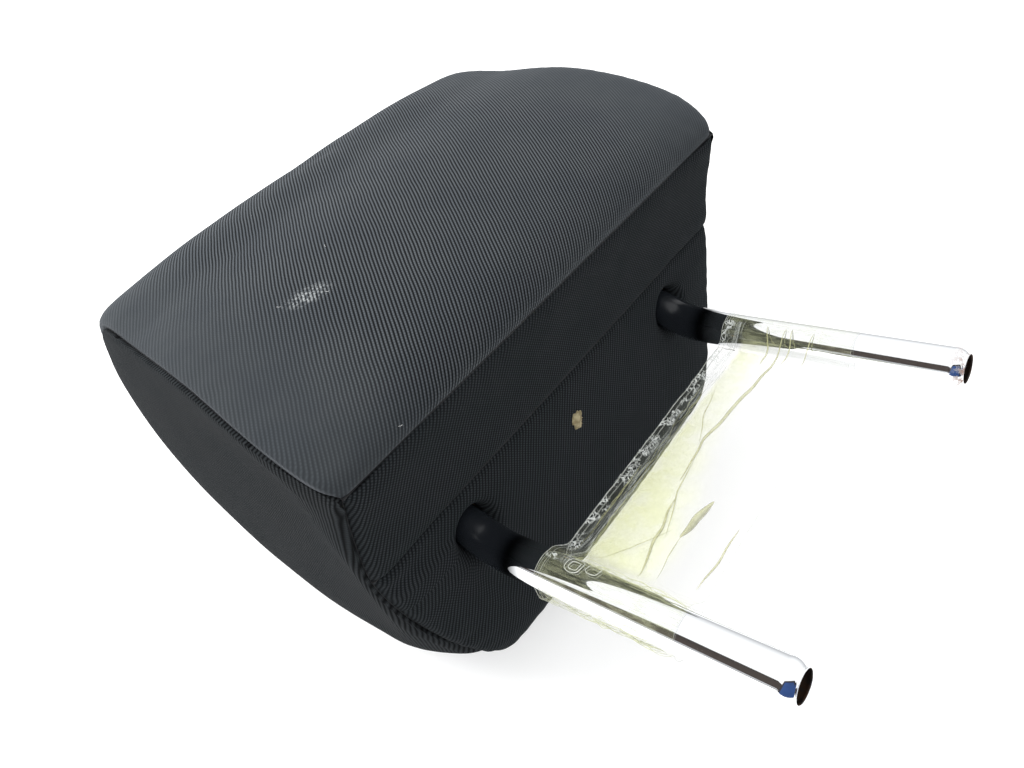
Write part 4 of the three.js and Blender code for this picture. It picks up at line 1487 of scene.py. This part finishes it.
class Bench:
    """Adds nodes to a material's or group's tree and wires them.

    Args:
        tree: The tree that it works on.
    """

    def __init__(self, tree: bpy.types.NodeTree) -> None:
        """Takes the tree."""
        self.tree = tree

    def add(self, kind: str, inputs: dict | None = None, **settings: object) -> bpy.types.Node:
        """Adds a node.

        Args:
            kind: Its type.
            inputs: Sockets or plain values by input name or number.
            settings: Its properties.

        Returns:
            The node.
        """
        node = self.tree.nodes.new(kind)
        for name, value in settings.items():
            setattr(node, name, value)
        self.feed_all(node, inputs or {})
        return node

    def feed(self, socket: Socket, value: object) -> None:
        """Links a socket into an input, or sets the input's own value."""
        if isinstance(value, Socket):
            self.tree.links.new(value, socket)
        else:
            socket.default_value = value

    def feed_all(self, node: bpy.types.Node, values: dict) -> None:
        """Feeds several inputs of a node by name."""
        for name, value in values.items():
            self.feed(node.inputs[name], value)

    def math(self, operation: str, *values: object) -> Socket:
        """The result of one piece of arithmetic."""
        return self.add("ShaderNodeMath", dict(enumerate(values)), operation=operation).outputs[0]

    def rest(self, value: Socket) -> Socket:
        """One less a value."""
        return self.math("SUBTRACT", 1.0, value)

    def value_of(self, attribute: str) -> Socket:
        """A number that the mesh holds for each of its vertices."""
        return self.add("ShaderNodeAttribute", attribute_name=attribute).outputs["Fac"]

    def wave(self, turns: Socket) -> Socket:
        """A cosine of whole turns, from 0 to 1."""
        cosine = self.math("COSINE", self.math("MULTIPLY", turns, 2.0 * math.pi))
        return self.math("MULTIPLY_ADD", cosine, 0.5, 0.5)

    def mix(self, share: object, first: object, second: object) -> Socket:
        """A colour between two colours."""
        inputs = {0: share, 6: first, 7: second}
        return self.add("ShaderNodeMix", inputs, data_type="RGBA").outputs[2]

    def noise(self, vector: Socket, scale: object, detail: float = 2.0, roughness: float = 0.5) -> Socket:
        """Noise from 0 to 1."""
        inputs = {"Vector": vector, "Scale": scale, "Detail": detail, "Roughness": roughness}
        return self.add("ShaderNodeTexNoise", inputs).outputs[0]

    def between(self, value: Socket, start: float, end: float) -> Socket:
        """A smooth rise from 0 to 1 as a value goes from start to end."""
        inputs = {"Value": value, "From Min": start, "From Max": end}
        return self.add("ShaderNodeMapRange", inputs, interpolation_type="SMOOTHSTEP").outputs[0]


def new_group(name: str, inputs: dict[str, tuple[str, object]],
              outputs: dict[str, str]) -> tuple[Bench, dict, bpy.types.Node]:
    """Starts a shader node group with named sockets.

    Args:
        name: The group's name.
        inputs: Socket type and first value by name.
        outputs: Socket type by name.

    Returns:
        A bench on its tree, its input sockets by name, and its output node.
    """
    tree = bpy.data.node_groups.new(name, "ShaderNodeTree")
    for label, (kind, value) in inputs.items():
        socket = tree.interface.new_socket(name=label, in_out="INPUT", socket_type=kind)
        if kind != "NodeSocketVector":
            socket.default_value = value
    for label, kind in outputs.items():
        tree.interface.new_socket(name=label, in_out="OUTPUT", socket_type=kind)
    bench = Bench(tree)
    entry, leave = bench.add("NodeGroupInput"), bench.add("NodeGroupOutput")
    return bench, {label: entry.outputs[label] for label in inputs}, leave


def weave_group() -> bpy.types.NodeTree:
    """Ribbed twill: parallel ribs at an angle, each broken into short floats of yarn.

    The pattern is turned by the angle. Across the ribs a cosine of the distance over the pitch
    gives their round backs, and a second one along them, shifted by half a step from rib to
    rib, gives the floats. Slow noise bends the ribs a little and tints the cloth.

    Returns:
        The group, with the outputs Color, Height and Shine.
    """
    bench, given, leave = new_group("ribbed_weave", {
        "Pattern": ("NodeSocketVector", None),
        "Angle": ("NodeSocketFloat", 0.0),
        "Pitch": ("NodeSocketFloat", 1.0),
        "Float Length": ("NodeSocketFloat", 1.0),
        "Float Depth": ("NodeSocketFloat", 0.3),
        "Contrast": ("NodeSocketFloat", 1.0),
        "Flat Beyond": ("NodeSocketFloat", 1000.0),
        "Rib Colour": ("NodeSocketColor", (0.1, 0.1, 0.1, 1.0)),
        "Groove Colour": ("NodeSocketColor", (0.02, 0.02, 0.02, 1.0)),
        "Tint Colour": ("NodeSocketColor", (0.1, 0.1, 0.12, 1.0)),
    }, {"Color": "NodeSocketColor", "Height": "NodeSocketFloat", "Shine": "NodeSocketFloat"})
    bend = bench.noise(given["Pattern"], 0.06, 2.0)
    turned = bench.add("ShaderNodeVectorRotate", {"Vector": given["Pattern"], "Angle": given["Angle"]},
                       rotation_type="Z_AXIS")
    split = bench.add("ShaderNodeSeparateXYZ", {0: turned.outputs[0]})
    across = bench.math("MULTIPLY_ADD", bench.math("SUBTRACT", bend, 0.5), 0.9, split.outputs[1])
    rib_turn = bench.math("DIVIDE", across, given["Pitch"])
    round_rib = bench.math("POWER", bench.wave(rib_turn), 0.7)
    along = bench.math("DIVIDE", split.outputs[0], given["Float Length"])
    shifted = bench.math("MULTIPLY_ADD", bench.math("FLOOR", bench.math("ADD", rib_turn, 0.5)), 0.37, along)
    float_depth = given["Float Depth"]
    float_share = bench.math("MULTIPLY_ADD", bench.wave(shifted), float_depth, bench.rest(float_depth))
    height = bench.math("MULTIPLY", round_rib, float_share)
    fuzz = bench.noise(given["Pattern"], 1.7, 3.0, 0.7)
    height = bench.math("MULTIPLY_ADD", bench.math("SUBTRACT", fuzz, 0.5), 0.22, height)
    tint = bench.between(bench.noise(given["Pattern"], 0.035, 3.0, 0.6), 0.35, 0.65)
    ribs = bench.mix(tint, given["Rib Colour"], given["Tint Colour"])
    share = bench.math("POWER", bench.math("MAXIMUM", height, 0.0), given["Contrast"])
    off = bench.math("ABSOLUTE", bench.add("ShaderNodeSeparateXYZ", {0: given["Pattern"]}).outputs[0])
    pulled = bench.add("ShaderNodeMapRange", {
        "Value": off, "From Min": given["Flat Beyond"],
        "From Max": bench.math("ADD", given["Flat Beyond"], 42.0), "To Max": 0.75,
    }, interpolation_type="SMOOTHSTEP").outputs[0]
    even = bench.math("MULTIPLY", bench.math("SUBTRACT", 0.4, share), pulled)
    share = bench.math("ADD", share, even)
    height = bench.math("MULTIPLY", height, bench.rest(pulled))
    colour = bench.mix(share, given["Groove Colour"], ribs)
    bench.feed(leave.inputs["Color"], colour)
    bench.feed(leave.inputs["Height"], height)
    bench.feed(leave.inputs["Shine"], bench.math("MULTIPLY_ADD", height, -0.12, 0.97))
    return bench.tree


def mottle_group() -> bpy.types.NodeTree:
    """Uneven colour and gloss: two scales of noise that mix two colours and two roughnesses.

    Returns:
        The group, with the outputs Color, Roughness and Height.
    """
    bench, given, leave = new_group("mottle", {
        "Place": ("NodeSocketVector", None),
        "Scale": ("NodeSocketFloat", 40.0),
        "Colour": ("NodeSocketColor", (0.5, 0.5, 0.5, 1.0)),
        "Other Colour": ("NodeSocketColor", (0.4, 0.4, 0.4, 1.0)),
        "Smooth": ("NodeSocketFloat", 0.4),
        "Rough": ("NodeSocketFloat", 0.6),
    }, {"Color": "NodeSocketColor", "Roughness": "NodeSocketFloat", "Height": "NodeSocketFloat"})
    coarse = bench.noise(given["Place"], given["Scale"], 4.0)
    fine = bench.noise(given["Place"], bench.math("MULTIPLY", given["Scale"], 9.0), 3.0)
    mask = bench.between(coarse, 0.36, 0.64)
    bench.feed(leave.inputs["Color"], bench.mix(mask, given["Colour"], given["Other Colour"]))
    spread = bench.math("SUBTRACT", given["Rough"], given["Smooth"])
    bench.feed(leave.inputs["Roughness"], bench.math("MULTIPLY_ADD", mask, spread, given["Smooth"]))
    bench.feed(leave.inputs["Height"], fine)
    return bench.tree


def new_material(name: str) -> tuple[Bench, bpy.types.Node]:
    """A material with one Principled shader, and a bench on its tree."""
    material = bpy.data.materials.new(name)
    material.use_nodes = True
    tree = material.node_tree
    tree.nodes.clear()
    bench = Bench(tree)
    shader = bench.add("ShaderNodeBsdfPrincipled")
    bench.add("ShaderNodeOutputMaterial", {"Surface": shader.outputs[0]})
    return bench, shader


def material_of(bench: Bench) -> bpy.types.Material:
    """The material that a bench's tree belongs to."""
    return next(m for m in bpy.data.materials if m.node_tree == bench.tree)


def with_alpha(colour: Colour) -> tuple[float, float, float, float]:
    """A colour as Blender's sockets take it."""
    return (*colour, 1.0)


@dataclass(frozen=True)
class TwillFinish:
    """A woven cover cloth.

    Args:
        name: The material's name.
        rib: Colour of the ribs.
        groove: Colour between them.
        tint: Colour that the ribs drift to.
        angle: Direction of the ribs on the cloth, in degrees.
        pitch: From rib to rib, in millimetres.
        float_length: From float to float along a rib, in millimetres.
        float_depth: How much the floats break the ribs up.
        relief: Height of the ribs, in millimetres.
        sheen: Strength of the nap's sheen.
        contrast: How narrow the lit tops of the ribs are.
        flat_beyond: From where the cloth is pulled flat towards the seams, in millimetres.
    """

    name: str
    rib: Colour
    groove: Colour
    tint: Colour
    angle: float
    pitch: float
    float_length: float
    float_depth: float
    relief: float
    sheen: float
    contrast: float
    flat_beyond: float = 1000.0

    def make(self, weave: bpy.types.NodeTree, scuff: Array | None = None) -> bpy.types.Material:
        """Builds the material.

        Args:
            weave: The shared weave group.
            scuff: Where the nap is worn pale, in metres, or None.

        Returns:
            The material.
        """
        bench, shader = new_material(self.name)
        pattern = bench.add("ShaderNodeUVMap", uv_map=PATTERN).outputs[0]
        cloth = bench.add("ShaderNodeGroup", {
            "Pattern": pattern, "Angle": -math.radians(self.angle), "Pitch": self.pitch,
            "Float Length": self.float_length, "Float Depth": self.float_depth, "Contrast": self.contrast,
            "Flat Beyond": self.flat_beyond,
            "Rib Colour": with_alpha(self.rib), "Groove Colour": with_alpha(self.groove),
            "Tint Colour": with_alpha(self.tint),
        }, node_tree=weave)
        colour = cloth.outputs["Color"]
        if scuff is not None:
            colour = self._scuffed(bench, colour, cloth.outputs["Height"], scuff)
        bump = bench.add("ShaderNodeBump", {
            "Height": cloth.outputs["Height"], "Distance": self.relief * MM, "Strength": 0.9})
        bench.feed_all(shader, {
            "Base Color": colour, "Roughness": cloth.outputs["Shine"], "Normal": bump.outputs[0],
            "Specular IOR Level": 0.04, "Sheen Weight": self.sheen, "Sheen Roughness": 0.45,
            "Sheen Tint": (0.8, 0.84, 0.9, 1.0)})
        return material_of(bench)

    @staticmethod
    def _scuffed(bench: Bench, colour: Socket, height: Socket, place: Array) -> Socket:
        """Rubs the tops of the ribs pale in a small patch."""
        here = bench.add("ShaderNodeTexCoord").outputs["Object"]
        local = bench.add("ShaderNodeMapping", {
            "Vector": here, "Location": tuple(place), "Rotation": (0.0, 0.0, math.radians(-18.0)),
            "Scale": (0.011, 0.0055, 0.02)}, vector_type="TEXTURE")
        away = bench.add("ShaderNodeVectorMath", {0: local.outputs[0]}, operation="LENGTH").outputs["Value"]
        patch = bench.rest(bench.between(away, 0.2, 1.0))
        broken = bench.between(bench.noise(here, 900.0, 3.0, 0.7), 0.44, 0.6)
        worn = bench.math("MULTIPLY", bench.math("MULTIPLY", patch, broken), height)
        return bench.mix(bench.math("MULTIPLY", worn, 0.9), colour, (0.4, 0.42, 0.42, 1.0))


@dataclass(frozen=True)
class MottledFinish:
    """A plain moulded or metal finish with uneven colour and gloss.

    Args:
        name: The material's name.
        colour: Its colour.
        other: The colour that it drifts to.
        smooth: Roughness of its glossiest places.
        rough: Roughness of its dullest places.
        metallic: 1 for metal.
        scale: How many drifts fit in a metre.
        relief: Height of its fine grain, in millimetres.
        alpha: Its opacity.
    """

    name: str
    colour: Colour
    other: Colour
    smooth: float
    rough: float
    metallic: float = 0.0
    scale: float = 60.0
    relief: float = 0.05
    alpha: float = 1.0

    def make(self, mottle: bpy.types.NodeTree) -> bpy.types.Material:
        """Builds the material from the shared mottle group."""
        bench, shader = new_material(self.name)
        place = bench.add("ShaderNodeTexCoord").outputs["Object"]
        grain = bench.add("ShaderNodeGroup", {
            "Place": place, "Scale": self.scale, "Colour": with_alpha(self.colour),
            "Other Colour": with_alpha(self.other), "Smooth": self.smooth, "Rough": self.rough,
        }, node_tree=mottle)
        bump = bench.add("ShaderNodeBump", {
            "Height": grain.outputs["Height"], "Distance": self.relief * MM, "Strength": 0.5})
        bench.feed_all(shader, {
            "Base Color": grain.outputs["Color"], "Roughness": grain.outputs["Roughness"],
            "Normal": bump.outputs[0], "Metallic": self.metallic, "Alpha": self.alpha})
        return material_of(bench)


@dataclass(frozen=True)
class ChromeFinish:
    """Bright plated tube with faint smears, rust that has started at one mouth, and painted shade next to
    the cover.

    Args:
        name: The material's name.
        colour: The plating's colour.
        cover_shade: Its colour next to the cover: painted shade that stands for the dark cloth the plating
            mirrors there.
        rust: The rust's colour.
        rust_reach: How far the rust spreads from the mouth, in metres.
    """

    name: str = "bright_chrome"
    colour: Colour = (0.93, 0.94, 0.95)
    cover_shade: Colour = (0.011, 0.013, 0.016)
    rust: Colour = (0.22, 0.09, 0.045)
    rust_reach: float = 0.0095

    def make(self, rusty_mouth: Array) -> bpy.types.Material:
        """Builds the material, with the rust round a mouth whose place is given in metres."""
        bench, shader = new_material(self.name)
        place = bench.add("ShaderNodeTexCoord").outputs["Object"]
        away = bench.add("ShaderNodeVectorMath", {0: place, 1: tuple(rusty_mouth)}, operation="DISTANCE")
        near = bench.rest(bench.between(away.outputs["Value"], 0.004, self.rust_reach))
        spots = bench.between(bench.noise(place, 520.0, 4.0, 0.7), 0.46, 0.62)
        rust = bench.math("MULTIPLY", near, spots)
        smear = bench.between(bench.noise(place, 90.0, 3.0, 0.6), 0.45, 0.75)
        rough = bench.math("MULTIPLY_ADD", smear, 0.05, 0.035)
        # Painted shade: next to the cover the plating fades to a dark colour, grows rougher and all but
        # stops being metal.
        cover_shade = bench.value_of("near_cover")
        shade_fade = bench.between(cover_shade, 0.0, 0.6)
        plating = bench.mix(shade_fade, with_alpha(self.colour), with_alpha(self.cover_shade))
        dull = bench.between(cover_shade, 0.5, 1.0)
        rough = bench.math("MULTIPLY_ADD", dull, 0.1, rough)
        metal = bench.math("MULTIPLY_ADD", dull, -0.95, 1.0)
        waves = bench.add("ShaderNodeBump", {
            "Height": bench.noise(place, 38.0, 2.0), "Distance": 0.00012, "Strength": 0.35})
        bench.feed_all(shader, {
            "Base Color": bench.mix(rust, plating, with_alpha(self.rust)),
            "Roughness": bench.math("MULTIPLY_ADD", rust, 0.5, rough),
            "Metallic": bench.math("MULTIPLY_ADD", rust, -0.7, metal),
            "Normal": waves.outputs[0]})
        return material_of(bench)


@dataclass(frozen=True)
class FilmFinish:
    """Clear tape, slightly yellow, with haze where layers stick and lines where it is creased. On the
    folded band the lines are light: painted highlights.

    Args:
        name: The material's name.
        tint: Colour of the haze.
        line: Colour of the lines: the crease tint on clear film, a light painted highlight on the folded
            band.
        least: Opacity of clear film.
        haze: Opacity that the haze adds.
        crease_and_highlight: Opacity that the lines add.
        bubbly: Whether it is crumpled film, with the outlines of flat bubbles.
    """

    name: str
    tint: Colour
    line: Colour
    least: float
    haze: float
    crease_and_highlight: float
    bubbly: bool = False

    def make(self) -> bpy.types.Material:
        """Builds the material on the film's own coordinates and its haze and held attributes."""
        bench, shader = new_material(self.name)
        pattern = bench.add("ShaderNodeUVMap", uv_map=PATTERN).outputs[0]
        given = bench.value_of("haze")
        clouds = bench.between(bench.noise(pattern, 0.11, 4.0, 0.65), 0.35, 0.65)
        if self.bubbly:
            haze, lines = clouds, self._bubble_highlights(bench, pattern, given)
        else:
            haze = bench.math("MULTIPLY", given, bench.math("MULTIPLY_ADD", clouds, 0.5, 0.5))
            streaks = self._streaks(bench, pattern, (1.1, 0.06, 1.0))
            lines = bench.math("MULTIPLY", bench.value_of("held"), streaks)
        opacity = bench.math("MULTIPLY_ADD", haze, self.haze, self.least)
        bench.feed_all(shader, {
            "Base Color": bench.mix(lines, with_alpha(self.tint), with_alpha(self.line)),
            "Alpha": bench.math("MULTIPLY_ADD", lines, self.crease_and_highlight, opacity),
            "Roughness": 0.15, "Specular IOR Level": 0.8})
        return material_of(bench)

    @staticmethod
    def _streaks(bench: Bench, pattern: Socket, scale: tuple[float, float, float]) -> Socket:
        """Thin lines where stretched noise crosses its middle value."""
        laid = bench.add("ShaderNodeMapping", {"Vector": pattern, "Scale": scale}).outputs[0]
        off = bench.math("ABSOLUTE", bench.math("SUBTRACT", bench.noise(laid, 1.0, 3.0, 0.6), 0.5))
        return bench.rest(bench.between(off, 0.0, 0.05))

    def _bubble_highlights(self, bench: Bench, pattern: Socket, outer: Socket) -> Socket:
        """Painted highlights: broken light outlines of flat bubbles in the outer part, and light streaks
        along the inner part.
        """
        bend = bench.add("ShaderNodeTexNoise", {"Vector": pattern, "Scale": 0.5, "Detail": 2.0})
        bent = bench.add("ShaderNodeVectorMath", {0: bend.outputs["Color"], 1: (2.4, 2.4, 0.0), 2: pattern},
                         operation="MULTIPLY_ADD")
        cells = bench.add("ShaderNodeTexVoronoi", {"Vector": bent.outputs[0], "Scale": 0.75},
                          feature="DISTANCE_TO_EDGE")
        outline = bench.rest(bench.between(cells.outputs["Distance"], 0.02, 0.09))
        cluster = bench.between(bench.noise(pattern, 0.16, 2.0), 0.46, 0.54)
        outline = bench.math("MULTIPLY", bench.math("MULTIPLY", outline, cluster), outer)
        streaks = bench.math("MULTIPLY", self._streaks(bench, pattern, (0.03, 0.9, 1.0)), bench.rest(outer))
        return bench.math("MULTIPLY_ADD", streaks, 0.45, outline)


def make_finishes(posts_tip: Array, scuff: Array) -> dict[str, bpy.types.Material]:
    """Every material of the headrest.

    Args:
        posts_tip: The mouth that has started to rust, in metres.
        scuff: Where the front is worn pale, in metres.

    Returns:
        The materials by short name.
    """
    weave, mottle = weave_group(), mottle_group()
    front = TwillFinish(
        "charcoal_rib_twill", (0.09, 0.1, 0.108), (0.0028, 0.003, 0.0034), (0.078, 0.088, 0.098),
        angle=56.0, pitch=1.14, float_length=0.9, float_depth=0.2, relief=0.2, sheen=0.1,
        contrast=1.9, flat_beyond=54.0)
    # The sides get darker colours than the front: partly the cloth's own tone, partly painted shade for the
    # lesser light that falls on them.
    side = TwillFinish(
        "charcoal_side_twill", (0.032, 0.035, 0.0372), (0.0042, 0.0046, 0.005), (0.027, 0.031, 0.0335),
        angle=158.0, pitch=1.3, float_length=0.9, float_depth=0.3, relief=0.13, sheen=0.01,
        contrast=1.3)
    under = TwillFinish(
        "black_fine_weave", (0.0335, 0.0375, 0.041), (0.0053, 0.0062, 0.007), (0.029, 0.0345, 0.037),
        angle=-60.0, pitch=1.4, float_length=0.85, float_depth=0.6, relief=0.11, sheen=0.01,
        contrast=1.2)
    plain = {
        "thread": MottledFinish("seam_thread", (0.006, 0.006, 0.007), (0.009, 0.009, 0.01),
                                smooth=0.8, rough=0.95, scale=800.0),
        "foam": MottledFinish("moulded_foam", (0.66, 0.56, 0.33), (0.56, 0.45, 0.24),
                              smooth=0.85, rough=1.0, scale=30.0, relief=0.4),
        "core_plastic": MottledFinish("black_core_plastic", (0.012, 0.012, 0.013), (0.018, 0.018, 0.019),
                                      smooth=0.4, rough=0.6),
        "strip_plastic": MottledFinish("closure_strip_plastic", (0.02, 0.02, 0.02), (0.03, 0.03, 0.03),
                                       smooth=0.35, rough=0.55),
        "screw": MottledFinish("zinc_screw", (0.58, 0.6, 0.62), (0.45, 0.46, 0.47),
                               smooth=0.28, rough=0.5, metallic=1.0, scale=300.0),
        "bore": MottledFinish("dark_bore_steel", (0.05, 0.04, 0.036), (0.09, 0.05, 0.03),
                              smooth=0.5, rough=0.8, metallic=0.7, scale=400.0),
        "chip": MottledFinish("dried_chip", (0.36, 0.31, 0.18), (0.2, 0.16, 0.08),
                              smooth=0.7, rough=0.9, scale=500.0, relief=0.5),
        "lint": MottledFinish("pale_lint", (0.6, 0.61, 0.6), (0.5, 0.5, 0.5),
                              smooth=0.8, rough=0.95, scale=900.0),
        "strand": MottledFinish("film_strand", (0.68, 0.7, 0.4), (0.5, 0.52, 0.34),
                                smooth=0.25, rough=0.4, scale=900.0, alpha=0.7),
        # Painted highlights: the light lines along the film's edges and the glint loops.
        "film_highlight_line": MottledFinish("film_edge", (0.78, 0.8, 0.76), (0.6, 0.62, 0.55),
                                   smooth=0.2, rough=0.3, scale=500.0, alpha=0.5),
        "fold_line": MottledFinish("film_fold", (0.42, 0.42, 0.22), (0.54, 0.54, 0.32),
                                   smooth=0.2, rough=0.3, scale=200.0, alpha=0.5),
    }
    finishes = {key: finish.make(mottle) for key, finish in plain.items()}
    finishes["front_twill"] = front.make(weave, scuff)
    finishes["side_twill"] = side.make(weave)
    finishes["under_weave"] = under.make(weave)
    finishes["chrome"] = ChromeFinish().make(posts_tip)
    film = FilmFinish("clear_tape", (0.72, 0.74, 0.44), (0.6, 0.62, 0.4),
                      least=0.005, haze=0.31, crease_and_highlight=0.1)
    # The folded band's light lines are painted highlights.
    folded = FilmFinish("folded_tape", (0.5, 0.53, 0.48), (0.84, 0.87, 0.84),
                        least=0.004, haze=0.02, crease_and_highlight=0.62, bubbly=True)
    finishes["film"] = film.make()
    finishes["folded_film"] = folded.make()
    return finishes


def dress_hidden_parts(finishes: dict[str, bpy.types.Material], nodes: dict[str, bpy.types.Object]) -> None:
    """Gives the solids that stay, inside the head, their own finishes."""
    by_name = {"foam_core": "foam", "front_core_shell": "core_plastic", "rear_core_shell": "core_plastic",
               "closure_hook_strip": "strip_plastic", "closure_catch_strip": "strip_plastic"}
    by_name |= {f"core_screw_{number}": "screw" for number in range(1, 5)}
    for node, finish in by_name.items():
        mesh = nodes[node].data
        mesh.materials.clear()
        mesh.materials.append(finishes[finish])
        LOG.info("%s keeps its solid, in %s", node, finishes[finish].name)


class Card(Enum):
    """What the chrome mirrors: each card's middle, its level side, its upright side and its colour."""

    DARK_SIDE_OF_ROOM = ((-1.5, 0.0, 0.62), (0.0, 2.6, 0.0), (0.0, 0.0, 0.9), (0.026, 0.02, 0.017))
    DARK_EDGE_OF_TABLE = ((-1.45, 0.0, 0.03), (0.0, 2.6, 0.0), (0.0, 0.0, 0.05), (0.008, 0.007, 0.006))
    BLUE_CLOTH_IN_FRONT = ((-0.74, -0.52, 0.6), (0.56, -0.8, 0.0), (0.0, 0.0, 1.2), (0.01, 0.03, 0.1))
    DARK_IN_FRONT = ((-0.9, -0.63, 0.9), (1.0, -1.4, 0.0), (0.0, 0.0, 1.9), (0.012, 0.011, 0.012))


@dataclass(frozen=True)
class Studio:
    """The table, the light and the camera.

    Args:
        lying: How the headrest lies.
        camera_place: Where the camera is in the headrest's own frame, in millimetres.
        camera_pitch: How far it looks down from level, in degrees.
        camera_heading: Which way it looks, from +Y towards +X, in degrees.
        lens: Its focal length for a sensor 36 mm wide.
    """

    lying: Lying
    camera_place: tuple[float, float, float] = (-160.0, -174.27, 196.57)
    camera_pitch: float = 51.8
    camera_heading: float = 53.1
    lens: float = 28.05

    def build(self) -> None:
        """Makes everything that isn't the headrest."""
        self._table()
        for card in Card:
            self._card(card.name.lower(), *card.value)
        self._sky()
        self._lamp("window", (-0.45, 1.05, 1.2), (0.0, 0.05, 0.08), 1.1, 38.0)
        self._camera()

    def _table(self) -> None:
        """A wide white table top."""
        half = 3.5
        corners = np.array([(-half, -half, 0.0), (half, -half, 0.0), (half, half, 0.0), (-half, half, 0.0)])
        mesh = build_mesh("table", corners, [np.array([[0, 1, 2, 3]])])
        bench, shader = new_material("white_table")
        place = bench.add("ShaderNodeTexCoord").outputs["Object"]
        shade = bench.noise(place, 3.0, 2.0)
        bench.feed_all(shader, {
            "Base Color": bench.mix(shade, (0.59, 0.59, 0.59, 1.0), (0.61, 0.61, 0.61, 1.0)),
            "Roughness": 0.8, "Specular IOR Level": 0.1,
            "Emission Color": (1.0, 1.0, 1.0, 1.0), "Emission Strength": 0.48})
        self._add_stage(mesh, material_of(bench))

    def _card(self, name: str, middle: tuple, span: tuple, rise: tuple, colour: Colour) -> None:
        """A flat card that only mirrors show, given by its middle and its two whole sides."""
        span, rise = np.array(span) / 2.0, np.array(rise) / 2.0
        corners = np.array([-span - rise, span - rise, span + rise, -span + rise]) + np.array(middle)
        mesh = build_mesh(name, corners, [np.array([[0, 1, 2, 3]])])
        bench, shader = new_material(name)
        place = bench.add("ShaderNodeTexCoord").outputs["Object"]
        bench.feed(shader.inputs["Base Color"], bench.mix(
            bench.noise(place, 2.0), with_alpha(colour), with_alpha(tuple(1.6 * c for c in colour))))
        shader.inputs["Roughness"].default_value = 0.9
        card = self._add_stage(mesh, material_of(bench))
        card.visible_diffuse = card.visible_shadow = False

    @staticmethod
    def _add_stage(mesh: bpy.types.Mesh, material: bpy.types.Material) -> bpy.types.Object:
        """Puts a mesh in the scene as part of the stage."""
        thing = link_new(mesh.name, mesh)
        mesh.materials.append(material)
        return thing

    @staticmethod
    def _sky() -> None:
        """Soft light from all round: brightest overhead, dimmer near the horizon."""
        world = bpy.data.worlds.new("soft_light")
        world.use_nodes = True
        world.node_tree.nodes.clear()
        bench = Bench(world.node_tree)
        direction = bench.add("ShaderNodeTexCoord").outputs["Generated"]
        height = bench.add("ShaderNodeSeparateXYZ", {0: direction}).outputs[2]
        share = bench.between(height, -0.1, 0.5)
        colour = bench.mix(share, (0.5, 0.51, 0.53, 1.0), (1.12, 1.13, 1.14, 1.0))
        light = bench.add("ShaderNodeBackground", {"Color": colour, "Strength": 1.0})
        bench.add("ShaderNodeOutputWorld", {"Surface": light.outputs[0]})
        bpy.context.scene.world = world

    @staticmethod
    def _lamp(name: str, place: tuple, target: tuple, size: float, power: float) -> None:
        """A large square lamp that faces a target."""
        lamp = bpy.data.lights.new(name, "AREA")
        lamp.size = size
        lamp.energy = power
        thing = link_new(name, lamp)
        thing.location = place
        thing.visible_glossy = False
        away = np.array(place) - np.array(target)
        thing.rotation_euler = Euler((math.atan2(math.hypot(away[0], away[1]), away[2]), 0.0,
                                      math.atan2(away[0], -away[1])))

    def _camera(self) -> None:
        """A level camera at the photograph's place and angle."""
        data = bpy.data.cameras.new("camera")
        data.lens = self.lens
        data.sensor_width = 36.0
        data.clip_start = 0.01
        camera = link_new("camera", data)
        camera.location = self.lying.place(np.array(self.camera_place))
        camera.rotation_euler = Euler((
            math.radians(90.0 - self.camera_pitch), 0.0, -math.radians(self.camera_heading)))
        bpy.context.scene.camera = camera


def main() -> None:
    """Loads the solids, dresses them and sets the stage."""
    logging.basicConfig(level=logging.INFO, format="%(name)s: %(message)s")
    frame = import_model()
    posts = PostFrame(Lying(0.0, np.zeros(3)), {})
    lying = Lying.on_ring(math.radians(22.7), posts.ring_middle, "left_post_ring")
    rusty_tip = lying.place(np.array([posts.spacing / 2.0, -posts.reach, 0.0]))
    finishes = make_finishes(rusty_tip, lying.place(np.array([-61.0, 31.0, 100.5])))
    posts.lying, posts.finishes = lying, finishes
    cover = Cover(HeadForm(), lying, finishes)
    cover.build(posts.hole_places)
    posts.build()
    Tape(posts, finishes).build()
    Dirt(cover).build()
    dress_hidden_parts(finishes, frame["nodes"])
    Studio(lying).build()
    bpy.context.scene.view_settings.view_transform = "Standard"


if __name__ == "__main__":
    main()
